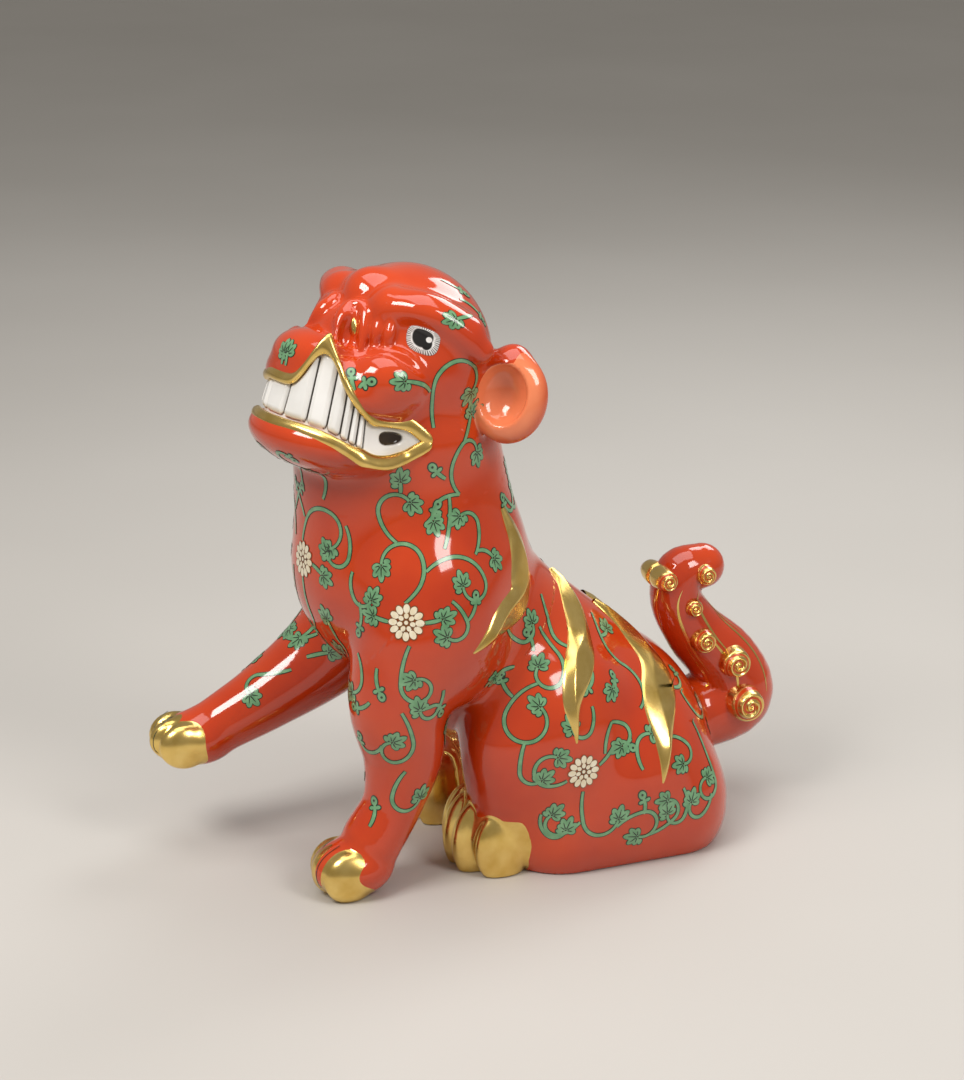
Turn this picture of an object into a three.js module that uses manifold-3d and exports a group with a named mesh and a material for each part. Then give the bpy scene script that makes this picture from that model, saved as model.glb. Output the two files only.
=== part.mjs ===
// Seated foo dog (lion-dog guardian), a slip-cast porcelain figurine with a red glaze and gilding.
// Millimetres, +Z up. The dog faces -Y, its own left side is +X, and it sits on Z = 0.
import * as THREE from "three";
import { mergeVertices } from "three/addons/utils/BufferGeometryUtils.js";
import Module from "manifold-3d";

const wasm = await Module();
wasm.setup();

// ---------------------------------------------------------------- driving dimensions
const SEAM_GAP = 0.3; // clearance between neighbouring sections
const NECK_SEAM_Z = 112; // height at which the head is luted to the torso
const FAR = 60; // distance reported where no form is near

const HEAD_CENTRE = [2, -26, 140];
const HEAD_YAW = 14; // degrees, the head looks toward the dog's left
const HEAD_PITCH = 14; // degrees, the chin is lifted

const FORELEG_X = 24; // how far each foreleg stands from the middle
const HINDPAW_X = 21;

const JAW_CENTRE_Y = -14; // head frame: middle of the arch of the teeth
const MOUTH_END = 112; // degrees from the front to the corner of the mouth
const PEAK_LEFT = 34; // degrees, where the upper lip is pulled up over the left fang
const PEAK_RIGHT = 38;
const RISE_LEFT = 10.4; // how far the lip is pulled up there
const RISE_RIGHT = -1.5; // the right side dips a little instead
const SLOT_DEPTH = 2.2; // how deep the teeth sit between the lips
const TEETH_PER_SIDE = 9;

// Tail curls: place along the plume's side (y, z), radius.
const CURLS = [
  { y: 56.5, z: 71, radius: 3.7 },
  { y: 67.5, z: 72, radius: 3.2 },
  { y: 63.5, z: 62.5, radius: 3.0 },
  { y: 66.5, z: 52.5, radius: 3.8 },
  { y: 76, z: 45, radius: 5.0 },
  { y: 79, z: 32.5, radius: 5.8 },
];

// Relief flames on each flank: places from the back down to the tip, with the half width there.
const FLAMES = [
  [
    [22, -3, 105, 1.2],
    [22.5, 0, 96, 3],
    [24, 2, 87, 4.4],
    [27, 0, 80, 4.6],
    [33, -8, 76, 3.6],
    [38, -18, 70.5, 0.7],
  ],
  [
    [4, 20, 79, 1.6],
    [13, 21, 73, 3.2],
    [22, 21, 66, 3.6],
    [31, 16, 60, 3.7],
    [37, 12, 51, 2.4],
    [39.5, 12, 40.5, 0.7],
  ],
  [
    [4, 33, 68, 1.6],
    [8, 41, 60, 3.8],
    [17, 45, 52, 4.6],
    [28, 42.5, 45, 4.7],
    [37, 40, 35, 2.6],
    [41, 38, 25, 0.7],
  ],
];
const FLAME_RISE = 1.6; // height of the relief over the glaze

// ---------------------------------------------------------------- forms and clay
const vec = ([x, y, z]) => new THREE.Vector3(x, y, z);

const turned = (x, y, z) =>
  new THREE.Matrix4().makeRotationFromEuler(
    new THREE.Euler(...[x, y, z].map(THREE.MathUtils.degToRad), "ZYX"),
  );

const headFrame = turned(-HEAD_PITCH, 0, HEAD_YAW).setPosition(
  vec(HEAD_CENTRE),
);
const toHead = headFrame.clone().invert();
const upright = new THREE.Matrix4();

// An ellipsoid; each form is a function from a point to a signed distance.
function ball(centre, radii, turn = [0, 0, 0]) {
  const middle = vec(centre);
  const back = turned(...turn).invert();
  const r = vec(radii);
  const r2 = r.clone().multiply(r);
  return (p) => {
    const q = p.clone().sub(middle).applyMatrix4(back);
    const k0 = q.clone().divide(r).length();
    const k1 = q.divide(r2).length();
    return (k0 * (k0 - 1)) / Math.max(k1, 1e-9);
  };
}

// A box with rounded edges.
function block(centre, half, round) {
  const middle = vec(centre);
  const core = vec(half).subScalar(round);
  return (p) => {
    const q = p.clone().sub(middle);
    q.set(Math.abs(q.x), Math.abs(q.y), Math.abs(q.z)).sub(core);
    const inside = Math.min(Math.max(q.x, q.y, q.z), 0);
    return q.clampScalar(0, 1e6).length() + inside - round;
  };
}

// Two spheres and the cone that touches both.
function limb(from, to, radiusA, radiusB) {
  const a = vec(from);
  const b = vec(to);
  const axis = b.clone().sub(a);
  const l2 = axis.lengthSq();
  const taper = radiusA - radiusB;
  const a2 = l2 - taper * taper;
  return (p) => {
    const pa = p.clone().sub(a);
    const y = pa.dot(axis);
    const z = y - l2;
    const x2 = pa.clone().multiplyScalar(l2).addScaledVector(axis, -y).lengthSq();
    const y2 = y * y * l2;
    const z2 = z * z * l2;
    const k = Math.sign(taper) * taper * taper * x2;
    if (Math.sign(z) * a2 * z2 > k) return Math.sqrt(x2 + z2) / l2 - radiusB;
    if (Math.sign(y) * a2 * y2 < k) return Math.sqrt(x2 + y2) / l2 - radiusA;
    return (Math.sqrt((x2 * a2) / l2) + y * taper) / l2 - radiusA;
  };
}

// A round tube through places [x, y, z, radius].
function tube(places, pieces = 24) {
  const curve = new THREE.CatmullRomCurve3(places.map(vec), false, "catmullrom");
  const widths = new THREE.CatmullRomCurve3(
    places.map((place) => new THREE.Vector3(place[3], 0, 0)),
  );
  const limbs = [];
  for (let i = 0; i < pieces; i++) {
    const ends = [i / pieces, (i + 1) / pieces];
    const [a, b] = ends.map((t) => curve.getPoint(t).toArray());
    const [ra, rb] = ends.map((t) => widths.getPoint(t).x);
    limbs.push(limb(a, b, ra, rb));
  }
  return (p) => Math.min(...limbs.map((piece) => piece(p)));
}

// The same form, placed by a frame's own coordinates.
const inHead = (form) => (p) => form(p.clone().applyMatrix4(toHead));

function softMin(a, b, blend) {
  const h = Math.max(blend - Math.abs(a - b), 0) / Math.max(blend, 1e-6);
  return Math.min(a, b) - (h * h * h * blend) / 6;
}

// Forms joined and cut softly, one after another.
class Clay {
  constructor(steps = []) {
    this.steps = steps;
  }
  add(form, blend) {
    return new Clay([...this.steps, (d, p) => softMin(d, form(p), blend)]);
  }
  cut(form, blend) {
    return new Clay([...this.steps, (d, p) => -softMin(-d, form(p), blend)]);
  }
  at(p) {
    return this.steps.reduce((d, step) => step(d, p), FAR);
  }
}

const SIDES = [
  { name: "left", s: 1 },
  { name: "right", s: -1 },
];

// ---------------------------------------------------------------- the modelled surface
function modelTrunk() {
  let clay = new Clay()
    .add(ball([0, -21, 82], [33, 31, 29]), 0)
    .add(limb([0, -25, 116], [0, -22, 90], 28.5, 31), 12)
    .add(limb([0, 0, 60], [0, 31, 29], 27, 31), 14)
    .add(ball([0, 33, 24], [41, 34, 29]), 12)
    .add(block([0, 31, 11], [40, 35, 20], 19), 10);
  for (const { s } of SIDES) {
    clay = clay
      .add(ball([s * 23, 12, 34], [17, 26, 30], [0, 0, s * 6]), 8)
      .add(ball([s * 24, -24, 76], [15, 18, 26], [14, 0, 0]), 10)
      .add(limb([s * 22, -2, 38], [s * HINDPAW_X, 0, 14], 12, 11), 8);
  }
  return clay;
}

function modelHead(clay) {
  const add = (form, blend) => (clay = clay.add(inHead(form), blend));
  add(ball([0, 2, 5], [27.5, 22, 25]), 8);
  add(ball([0, -9, 19], [11, 8, 8]), 6);
  add(ball([0, 4, -14], [27, 20, 16]), 8);
  add(ball([0, -14, -4], [25, 21, 12]), 6);
  add(ball([0, -15, -19], [24, 23, 10]), 4);
  add(ball([0, -17, 9], [10, 8, 8]), 5);
  add(ball([0, -27, 2], [14, 8, 7]), 5);
  for (const { s } of SIDES) {
    add(ball([s * 10, -12, 17], [6.5, 6.5, 6]), 4);
    add(
      tube([
        [s * 13, -13, 19, 4],
        [s * 20, -8, 20, 4.5],
        [s * 25, 3, 16, 4.5],
      ]),
      8,
    );
    add(ball([s * 5.2, -20, 10.5], [4, 4.5, 6.5], [25, 0, 0]), 2);
    add(ball([s * 18, -13, 0.5], [9.5, 11.5, 8.5]), 3);
    add(ball([s * 27.5, 18, 5], [7, 7, 10]), 6);
  }
  return clay;
}

const trunk = modelTrunk();
const skull = modelHead(trunk);

const PLANTED_LEG = [
  [FORELEG_X - 1, -29, 72, 16],
  [FORELEG_X, -34, 54, 13.7],
  [FORELEG_X, -33, 39, 11],
  [FORELEG_X, -36, 25, 8.4],
  [FORELEG_X, -42, 15, 8.5],
];
const RAISED_LEG = [
  [1 - FORELEG_X, -24, 68, 16],
  [-FORELEG_X, -38, 53, 13],
  [-FORELEG_X, -56, 42, 10],
  [-FORELEG_X, -73, 34, 8],
];
const PLUME = [
  [0, 66, 26, 11],
  [0, 80, 31, 12],
  [0, 77, 42, 10.5],
  [0, 67, 53, 8.7],
  [0, 61, 63, 7.6],
  [0, 62, 71, 7.2],
  [0, 69, 72.5, 6.6],
];

// ---------------------------------------------------------------- solids
const curveThrough = (places) => new THREE.CatmullRomCurve3(places.map(vec));

function solidOf(geometry) {
  const bare = geometry.clone();
  bare.deleteAttribute("uv");
  bare.deleteAttribute("normal");
  const merged = mergeVertices(bare, 1e-4);
  return new wasm.Manifold(
    new wasm.Mesh({
      numProp: 3,
      vertProperties: merged.attributes.position.array,
      triVerts: new Uint32Array(merged.index.array),
    }),
  );
}

function moveVertices(geometry, place) {
  const position = geometry.attributes.position;
  for (let i = 0; i < position.count; i++) {
    const moved = place(new THREE.Vector3().fromBufferAttribute(position, i));
    position.setXYZ(i, moved.x, moved.y, moved.z);
  }
  return geometry;
}

// Where a ray that starts inside the field first meets its surface.
function surfaceAlong(field, origin, direction, level = 0) {
  const at = (t) => origin.clone().addScaledVector(direction, t);
  let near = 0;
  let far = 0.5;
  while (field(at(far)) < level && far < 200) {
    near = far;
    far += 0.8;
  }
  for (let i = 0; i < 18; i++) {
    const middle = (near + far) / 2;
    if (field(at(middle)) < level) near = middle;
    else far = middle;
  }
  return at(far);
}

// A sphere blank drawn out along a spine and pressed onto the surface of a field.
function wrap(field, spine, around, along, level = 0) {
  const curve = curveThrough(spine);
  return solidOf(
    moveVertices(new THREE.SphereGeometry(1, around, along), (n) => {
      const t = Math.acos(THREE.MathUtils.clamp(n.y, -1, 1)) / Math.PI;
      const ahead = curve.getTangent(t).negate();
      const side = new THREE.Vector3(1, 0, 0).addScaledVector(ahead, -ahead.x);
      side.normalize();
      const third = side.clone().cross(ahead);
      const direction = side
        .multiplyScalar(n.x)
        .addScaledVector(third, n.z)
        .addScaledVector(ahead, n.y ** 3)
        .normalize();
      return surfaceAlong(field, curve.getPoint(t), direction, level);
    }),
  );
}

const fieldOf = (clay) => (p) => clay.at(p);

// A clay's surface, kept to what lies within a reach of one form.
const nearForm = (clay, form, reach) => (p) =>
  Math.max(clay.at(p), form(p) - reach);

// The nearest place on a clay's surface.
function settled(clay, place) {
  const p = vec(place);
  const step = 0.1;
  for (let i = 0; i < 4; i++) {
    const slope = ["x", "y", "z"].map((axis) => {
      const beside = p.clone();
      beside[axis] += step;
      return (clay.at(beside) - clay.at(p)) / step;
    });
    const normal = vec(slope);
    p.addScaledVector(normal, -clay.at(p) / normal.lengthSq());
  }
  return p.toArray();
}

function boxBetween(low, high) {
  const size = high.map((value, i) => value - low[i]);
  const box = new THREE.BoxGeometry(...size);
  return solidOf(
    box.translate(...low.map((value, i) => value + size[i] / 2)),
  );
}

const above = (z) => boxBetween([-300, -300, z], [300, 300, 400]);
const below = (z) => boxBetween([-300, -300, -200], [300, 300, z]);

// A large slab ahead of a plane, for parting a paw from its leg.
function ahead(point, normal) {
  const slab = new THREE.BoxGeometry(80, 80, 60).translate(0, 0, 30);
  const turn = new THREE.Quaternion().setFromUnitVectors(
    new THREE.Vector3(0, 0, 1),
    vec(normal).normalize(),
  );
  return solidOf(slab.applyQuaternion(turn).translate(...point));
}

// The largest body of a cut, without the crumbs a boolean can leave.
function largest(solid) {
  const bodies = solid.decompose();
  return bodies.reduce((a, b) => (b.volume() > a.volume() ? b : a));
}

// ---------------------------------------------------------------- materials and nodes
const glazed = (color, roughness = 0.12) =>
  new THREE.MeshStandardMaterial({ color, roughness, metalness: 0 });
const redGlaze = glazed(0xc8401c);
const peachGlaze = glazed(0xe07850);
const whiteGlaze = glazed(0xf2efe6);
const gilding = new THREE.MeshStandardMaterial({
  color: 0xd0a040,
  roughness: 0.25,
  metalness: 1,
});

const figure = new THREE.Group();
figure.name = "foo_dog";
const nodes = [];

function geometryOf(solid) {
  const mesh = solid.getMesh();
  const geometry = new THREE.BufferGeometry();
  geometry.setAttribute("position", new THREE.BufferAttribute(mesh.vertProperties, 3));
  geometry.setIndex(new THREE.BufferAttribute(mesh.triVerts, 1));
  return geometry;
}

// The solid with vertices closer than a micron made one.
const welded = (solid) => solidOf(mergeVertices(geometryOf(solid), 1e-3));

function keep(name, solid, material) {
  nodes.push({ name, solid: largest(welded(largest(solid))), material });
}

// ---------------------------------------------------------------- torso and head
const TORSO_SPINE = [
  [0, -24, 116],
  [0, -21, 84],
  [0, 6, 54],
  [0, 30, 24],
];
const HEAD_SPINE = [
  [2, -28, 144],
  [1, -26, 138],
  [0, -25, 118],
];

const torsoWrap = wrap(fieldOf(trunk), TORSO_SPINE, 44, 34);
const torsoCutter = wrap(fieldOf(trunk), TORSO_SPINE, 44, 34, SEAM_GAP);
const headWrap = wrap(fieldOf(skull), HEAD_SPINE, 52, 34);
const headCutter = wrap(fieldOf(skull), HEAD_SPINE, 52, 34, SEAM_GAP);
const ground = below(0);

const torso = torsoWrap.subtract(ground).subtract(above(NECK_SEAM_Z));

// ---------------------------------------------------------------- mouth
const radians = THREE.MathUtils.degToRad;

// Heights of the lips in the head's frame at an angle from the front.
function upperLip(angle) {
  const bend = Math.abs(angle);
  const [peak, rise] = angle > 0 ? [PEAK_LEFT, RISE_LEFT] : [PEAK_RIGHT, RISE_RIGHT];
  const spread = bend < peak ? 13 : 20;
  const fang = Math.exp(-(((bend - peak) / spread) ** 2));
  return -5.6 - 5.4 * THREE.MathUtils.smoothstep(bend, 40, 85) + rise * fang;
}

function lowerLip(angle) {
  const bend = Math.abs(angle);
  const dip = Math.exp(-(((bend - 84) / 26) ** 2));
  return -14.6 - 4.6 * dip;
}

// A point of the mouth at an angle from the front and a height, a depth outside the skin.
function mouthPoint(angle, height, depth) {
  const turn = radians(angle);
  const origin = new THREE.Vector3(0, JAW_CENTRE_Y, height);
  const out = new THREE.Vector3(Math.sin(turn), -Math.cos(turn), 0);
  const local = (p) => skull.at(p.clone().applyMatrix4(headFrame));
  return surfaceAlong(local, origin, out)
    .addScaledVector(out, depth)
    .applyMatrix4(headFrame);
}

// A curved band of the mouth between the lips, from one depth to another.
function mouthBand(inner, outer, margin, relief = () => 0) {
  const end = MOUTH_END - margin * 1.5;
  const steps = TEETH_PER_SIDE * 6;
  return solidOf(
    moveVertices(new THREE.BoxGeometry(2, 1, 1, steps, 1, 1), (n) => {
      const angle = n.x * end;
      const depth = n.z > 0 ? outer + relief(n.x) : inner;
      const foot = mouthPoint(angle, lowerLip(angle), depth);
      const top = mouthPoint(angle, upperLip(angle), depth);
      const share = margin / foot.distanceTo(top);
      return foot.lerp(top, n.y > 0 ? 1 - share : share);
    }),
  );
}

const toothRelief = (share) =>
  0.5 * Math.abs(Math.sin(share * TEETH_PER_SIDE * Math.PI));

function lip(height, rounds) {
  const places = rounds.map(([angle, radius]) => [
    ...mouthPoint(angle, height(angle), 0.2).toArray(),
    radius,
  ]);
  return { form: tube(places, 40), spine: places };
}

const upperLipPlaces = lip(upperLip, [
  [-MOUTH_END, 1.6],
  [-90, 1.5],
  [-68, 1.3],
  [-48, 1.2],
  [-36, 1.2],
  [-29, 1.3],
  [-22, 1.2],
  [0, 1.2],
  [22, 1.2],
  [29, 1.3],
  [36, 1.2],
  [48, 1.2],
  [68, 1.3],
  [90, 1.5],
  [MOUTH_END, 1.6],
]);
const lowerLipPlaces = lip(lowerLip, [
  [1.5 - MOUTH_END, 1.7],
  [-90, 2.0],
  [-60, 1.7],
  [-30, 1.5],
  [0, 1.5],
  [30, 1.5],
  [60, 1.7],
  [90, 2.0],
  [MOUTH_END - 1.5, 1.7],
]);
const wrapLip = ({ form, spine }, level = 0) => wrap(form, spine, 8, 48, level);

const mouthSlot = mouthBand(-SLOT_DEPTH, 5, 0.2);
const upperLipSolid = wrapLip(upperLipPlaces).subtract(headCutter);
const lowerLipSolid = wrapLip(lowerLipPlaces)
  .subtract(headCutter)
  .subtract(wrapLip(upperLipPlaces, SEAM_GAP));
const lipCutter = wrapLip(upperLipPlaces, SEAM_GAP).add(
  wrapLip(lowerLipPlaces, SEAM_GAP),
);
const teethSolid = mouthBand(
  SEAM_GAP - SLOT_DEPTH,
  -0.9,
  0.6,
  toothRelief,
).subtract(lipCutter);

// ---------------------------------------------------------------- eyes
const EYE = { place: [22.6, -9.2, 13], radii: [3.2, 5.4, 4.6], turn: [0, 0, 22] };

function eye(s, grow = 0) {
  const [x, y, z] = EYE.place;
  const middle = [s * x, y, z];
  const radii = EYE.radii.map((r) => r + grow);
  const form = ball(middle, radii, [0, 0, -s * EYE.turn[2]]);
  const spine = [-0.5, 0, 0.5].map((step) =>
    vec([middle[0], middle[1] + step, middle[2]]).applyMatrix4(headFrame).toArray(),
  );
  return wrap(inHead(form), spine, 14, 10);
}

const sockets = SIDES.map(({ s }) => eye(s, SEAM_GAP));
const head = headWrap
  .subtract(below(NECK_SEAM_Z + SEAM_GAP))
  .subtract(mouthSlot)
  .subtract(sockets[0])
  .subtract(sockets[1]);

keep("torso", torso, redGlaze);
keep("head", head, redGlaze);
keep("upper_lip", upperLipSolid, gilding);
keep("lower_lip", lowerLipSolid, gilding);
keep("teeth_row", teethSolid, whiteGlaze);

// ---------------------------------------------------------------- ears and eyes
function ear(s) {
  const clay = new Clay()
    .add(inHead(ball([s * 29.5, 17.5, 0.8], [10.5, 5.5, 12.3], [0, 0, s * 35])), 0)
    .cut(inHead(ball([s * 31.4, 13, 1.6], [6.6, 5.4, 8], [0, 0, s * 35])), 2);
  const spine = [-4, 0, 4].map((step) =>
    vec([s * 27.5, 20.4, 0.8 - step]).applyMatrix4(headFrame).toArray(),
  );
  return wrap(fieldOf(clay), spine, 18, 14).subtract(headCutter);
}

for (const { name, s } of SIDES) {
  keep("ear_" + name, ear(s), peachGlaze);
  keep("eye_" + name, eye(s), whiteGlaze);
}

// ---------------------------------------------------------------- legs and paws
const PLANTED_PAW = ball([FORELEG_X, -49, 8], [10.5, 12.5, 8.7]);
const RAISED_PAW = ball([-FORELEG_X, -80, 32.5], [9.5, 11, 8], [-10, 0, 0]);

const LEG_FLARE = 4; // how far a leg's root spreads over the torso
const PAW_FLARE = 2;

function legField(places, paw, blend) {
  const leg = tube(places);
  const clay = trunk.add(leg, blend).add(paw, 4);
  return nearForm(clay, (p) => Math.min(leg(p), paw(p)), LEG_FLARE);
}

const plantedField = legField(PLANTED_LEG, PLANTED_PAW, 7);
const raisedField = legField(RAISED_LEG, RAISED_PAW, 8);

const plantedLeg = wrap(
  plantedField,
  [
    [FORELEG_X - 2, -31, 60],
    [FORELEG_X, -34, 42],
    [FORELEG_X, -36, 26],
    [FORELEG_X, -42, 13],
    [FORELEG_X, -51, 8],
  ],
  18,
  26,
)
  .subtract(ground)
  .subtract(torsoCutter)
  .subtract(ahead([FORELEG_X, -30, 70], [0, 0.4, 1]));
const raisedLeg = wrap(
  raisedField,
  [
    [2 - FORELEG_X, -32, 58],
    [-FORELEG_X, -46, 48],
    [-FORELEG_X, -62, 39],
    [-FORELEG_X, -82, 32],
  ],
  18,
  24,
)
  .subtract(torsoCutter)
  .subtract(ahead([-FORELEG_X, -30, 68], [0, 0.8, 1]));

function parted(name, leg, point, normal) {
  const length = Math.hypot(...normal);
  const shifted = point.map((value, i) => value - (normal[i] / length) * SEAM_GAP);
  keep("foreleg_" + name, leg.subtract(ahead(shifted, normal)), redGlaze);
  keep("forepaw_" + name, leg.intersect(ahead(point, normal)), gilding);
}

parted("left", plantedLeg, [FORELEG_X, -45.5, 8], [0, -1, -0.25]);
parted("right", raisedLeg, [-FORELEG_X, -75, 33], [0, -1, -0.35]);

for (const { name, s } of SIDES) {
  const form = ball([s * HINDPAW_X, -6, 11], [12.5, 11.5, 13]);
  const field = nearForm(trunk.add(form, 4), form, PAW_FLARE);
  const spine = [
    [s * HINDPAW_X, -7, 15],
    [s * HINDPAW_X, -9, 11],
    [s * HINDPAW_X, -9, 6],
  ];
  const paw = wrap(field, spine, 18, 12).subtract(ground);
  keep("hindpaw_" + name, paw.subtract(torsoCutter), gilding);
}

// ---------------------------------------------------------------- tail and its curls
const plume = tube(PLUME, 30);
const plumeWrap = (level) => wrap(plume, PLUME, 14, 30, level);
keep("tail_plume", plumeWrap(0).subtract(torsoCutter).subtract(ground), redGlaze);

// A snail curl: three rising coils, turned on the lathe and set against the plume's side.
function curl({ y, z, radius }, s) {
  const profile = [
    [0, -0.9],
    [0.9, -0.9],
    [1, -0.1],
    [0.92, 0.25],
    [0.7, 0.2],
    [0.62, 0.5],
    [0.4, 0.45],
    [0.3, 0.75],
    [0, 0.85],
  ].map(([r, h]) => new THREE.Vector2(r * radius, h * radius));
  const surface = surfaceAlong(plume, vec([0, y, z]), vec([s, 0, 0]));
  return solidOf(
    new THREE.LatheGeometry(profile, 12)
      .rotateZ((-s * Math.PI) / 2)
      .translate(surface.x, y, z),
  );
}

const plumeCutter = plumeWrap(SEAM_GAP);
for (const { name, s } of SIDES) {
  CURLS.forEach((place, i) => {
    const solid = curl(place, s).subtract(plumeCutter).subtract(torsoCutter);
    keep("tail_curl_" + name + "_" + (i + 1), solid, gilding);
  });
}

// ---------------------------------------------------------------- flames
function flame(places, s) {
  const path = places.map(([x, y, z, width]) => [
    ...settled(trunk, [s * x, y, z]),
    width,
  ]);
  const form = tube(path, 16);
  const relief = (p) => Math.max(form(p), trunk.at(p) - FLAME_RISE);
  return wrap(relief, path, 16, 18).subtract(torsoCutter);
}

const forelegCutters = {
  left: wrap(plantedField, PLANTED_LEG, 18, 26, SEAM_GAP),
  right: wrap(raisedField, RAISED_LEG, 18, 26, SEAM_GAP),
};
for (const { name, s } of SIDES) {
  FLAMES.forEach((places, i) => {
    const solid = flame(places, s).subtract(forelegCutters[name]);
    keep("flame_" + name + "_" + (i + 1), solid, gilding);
  });
}

// ---------------------------------------------------------------- the finished group
// The origin is the middle of the footprint box, on the ground.
const extent = new THREE.Box3();
const made = nodes.map(({ name, solid, material }) => {
  const geometry = geometryOf(solid);
  geometry.computeBoundingBox();
  extent.union(geometry.boundingBox);
  return { name, geometry, material };
});
const middle = extent.getCenter(new THREE.Vector3());
for (const { name, geometry, material } of made) {
  geometry.translate(-middle.x, -middle.y, -extent.min.z);
  geometry.computeVertexNormals();
  const mesh = new THREE.Mesh(geometry, material);
  mesh.name = name;
  figure.add(mesh);
}

export default figure;
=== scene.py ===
"""A seated foo dog in red-glazed, gilded porcelain, modelled over the CAD frame. Lengths are millimetres
until a mesh is made; the dog faces -Y and its own left side is +X."""
import math
import bpy
import numpy as np
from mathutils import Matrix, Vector


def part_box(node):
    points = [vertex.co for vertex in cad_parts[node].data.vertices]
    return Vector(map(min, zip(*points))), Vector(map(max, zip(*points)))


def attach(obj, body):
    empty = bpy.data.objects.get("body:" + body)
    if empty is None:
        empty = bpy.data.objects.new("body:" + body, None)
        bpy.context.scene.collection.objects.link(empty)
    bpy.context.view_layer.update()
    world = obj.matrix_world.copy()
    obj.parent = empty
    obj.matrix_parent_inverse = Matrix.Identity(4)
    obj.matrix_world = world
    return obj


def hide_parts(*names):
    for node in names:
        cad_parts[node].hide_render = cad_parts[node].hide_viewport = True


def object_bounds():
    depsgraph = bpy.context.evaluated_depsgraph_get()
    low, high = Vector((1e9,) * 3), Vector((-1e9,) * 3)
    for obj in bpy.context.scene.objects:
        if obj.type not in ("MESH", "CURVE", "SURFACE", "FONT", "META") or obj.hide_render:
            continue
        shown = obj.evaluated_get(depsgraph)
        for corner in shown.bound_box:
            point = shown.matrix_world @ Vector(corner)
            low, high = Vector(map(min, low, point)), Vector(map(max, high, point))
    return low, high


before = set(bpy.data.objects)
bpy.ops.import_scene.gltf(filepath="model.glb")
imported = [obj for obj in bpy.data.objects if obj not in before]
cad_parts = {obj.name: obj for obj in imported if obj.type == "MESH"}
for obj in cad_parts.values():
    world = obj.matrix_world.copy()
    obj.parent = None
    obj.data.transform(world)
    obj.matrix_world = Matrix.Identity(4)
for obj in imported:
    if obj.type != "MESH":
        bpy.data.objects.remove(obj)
CAD_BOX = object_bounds()
MM = 0.001
SIDES = (("left", 1), ("right", -1))

# ------------------------------------------------------------------ sizes, in millimetres and degrees
SKIN_STEP = 0.9          # spacing of the surface mesh
GLAZE_THICKNESS = 1.2    # how thick each visible section is made
PAINT_LIFT = 0.07        # enamel stands this far above the glaze
HEAD_PITCH = 14.0
EYE_FORWARD, EYE_UP = 9.2, 13.0     # where the eyes sit from the head's centre
JAW_CENTRE = 14.0        # forward of the head's centre: middle of the arch of teeth
TOOTH_ARC = 25.5         # radius of the arch of teeth
MOUTH_END = 113.0        # how far round the arch the mouth reaches, in degrees from the front
PEAK_LEFT, PEAK_RIGHT = 34.0, 38.0  # where the upper lip is pulled up over the fangs
RISE_LEFT, RISE_RIGHT = 10.4, -1.5  # and how far; the right side dips instead
SLOT_DEPTH = 2.2         # the teeth stand this far behind the lips
GUM_DEPTH = 5.0          # and the head is hollowed this far behind them
# In degrees round the arch: where one tooth ends and the next begins, and the dark gap behind the last
TOOTH_EDGES = (-73, -67, -61, -55, -46, -33, -18, 8, 30, 46, 56, 62, 67.5, 73)
BLACK_SLOT = (85, 104)


def node_box(name):
    low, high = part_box(name)
    return np.array(low)/MM, np.array(high)/MM


def node_middle(name):
    low, high = node_box(name)
    return (low + high)/2


def unit(v):
    v = np.asarray(v, float)
    return v/np.maximum(np.linalg.norm(v, axis=-1, keepdims=True), 1e-9)


# ------------------------------------------------------------------ forms: signed distance functions
def turn_matrix(turn):
    (cx, cy, cz), (sx, sy, sz) = np.cos(np.radians(turn)), np.sin(np.radians(turn))
    about_x = np.array([[1, 0, 0], [0, cx, -sx], [0, sx, cx]])
    about_y = np.array([[cy, 0, sy], [0, 1, 0], [-sy, 0, cy]])
    about_z = np.array([[cz, -sz, 0], [sz, cz, 0], [0, 0, 1]])
    return about_z@about_y@about_x


class Form:
    """A distance function, with the sphere that holds its solid."""

    def __init__(self, distance, centre, reach):
        self.distance = distance
        self.centre = np.asarray(centre, float)
        self.reach = float(reach)


def ball(centre, radii, turn=(0, 0, 0)):
    middle, r, m = np.asarray(centre, float), np.asarray(radii, float), turn_matrix(turn)

    def distance(p):
        q = (p - middle)@m
        k0 = np.linalg.norm(q/r, axis=1)
        k1 = np.linalg.norm(q/(r*r), axis=1)
        return k0*(k0 - 1)/np.maximum(k1, 1e-9)
    return Form(distance, middle, r.max())


def block(centre, half, rounding):
    middle, core = np.asarray(centre, float), np.asarray(half, float) - rounding

    def distance(p):
        q = np.abs(p - middle) - core
        outside = np.linalg.norm(np.maximum(q, 0), axis=1)
        return outside + np.minimum(q.max(axis=1), 0) - rounding
    return Form(distance, middle, np.linalg.norm(core) + rounding)


def round_cone(p, a, b, ra, rb):
    """Distance to two spheres and the cone that touches both."""
    axis = b - a
    l2 = axis@axis
    taper = ra - rb
    a2 = l2 - taper*taper
    if a2 <= 0:
        end, radius = (a, ra) if taper > 0 else (b, rb)
        return np.linalg.norm(p - end, axis=1) - radius
    y = (p - a)@axis
    z = y - l2
    x2 = (((p - a)*l2 - axis*y[:, None])**2).sum(1)
    y2, z2 = y*y*l2, z*z*l2
    k = np.sign(taper)*taper*taper*x2
    d = (np.sqrt(x2*a2/l2) + y*taper)/l2 - ra
    beyond = np.sign(z)*a2*z2 > k
    before = ~beyond & (np.sign(y)*a2*y2 < k)
    d[beyond] = np.sqrt(x2 + z2)[beyond]/l2 - rb
    d[before] = np.sqrt(x2 + y2)[before]/l2 - ra
    return d


def limb(a, b, ra, rb):
    a, b = np.asarray(a, float), np.asarray(b, float)
    reach = np.linalg.norm(b - a)/2 + max(ra, rb)
    return Form(lambda p: round_cone(p, a, b, ra, rb), (a + b)/2, reach)


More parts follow.
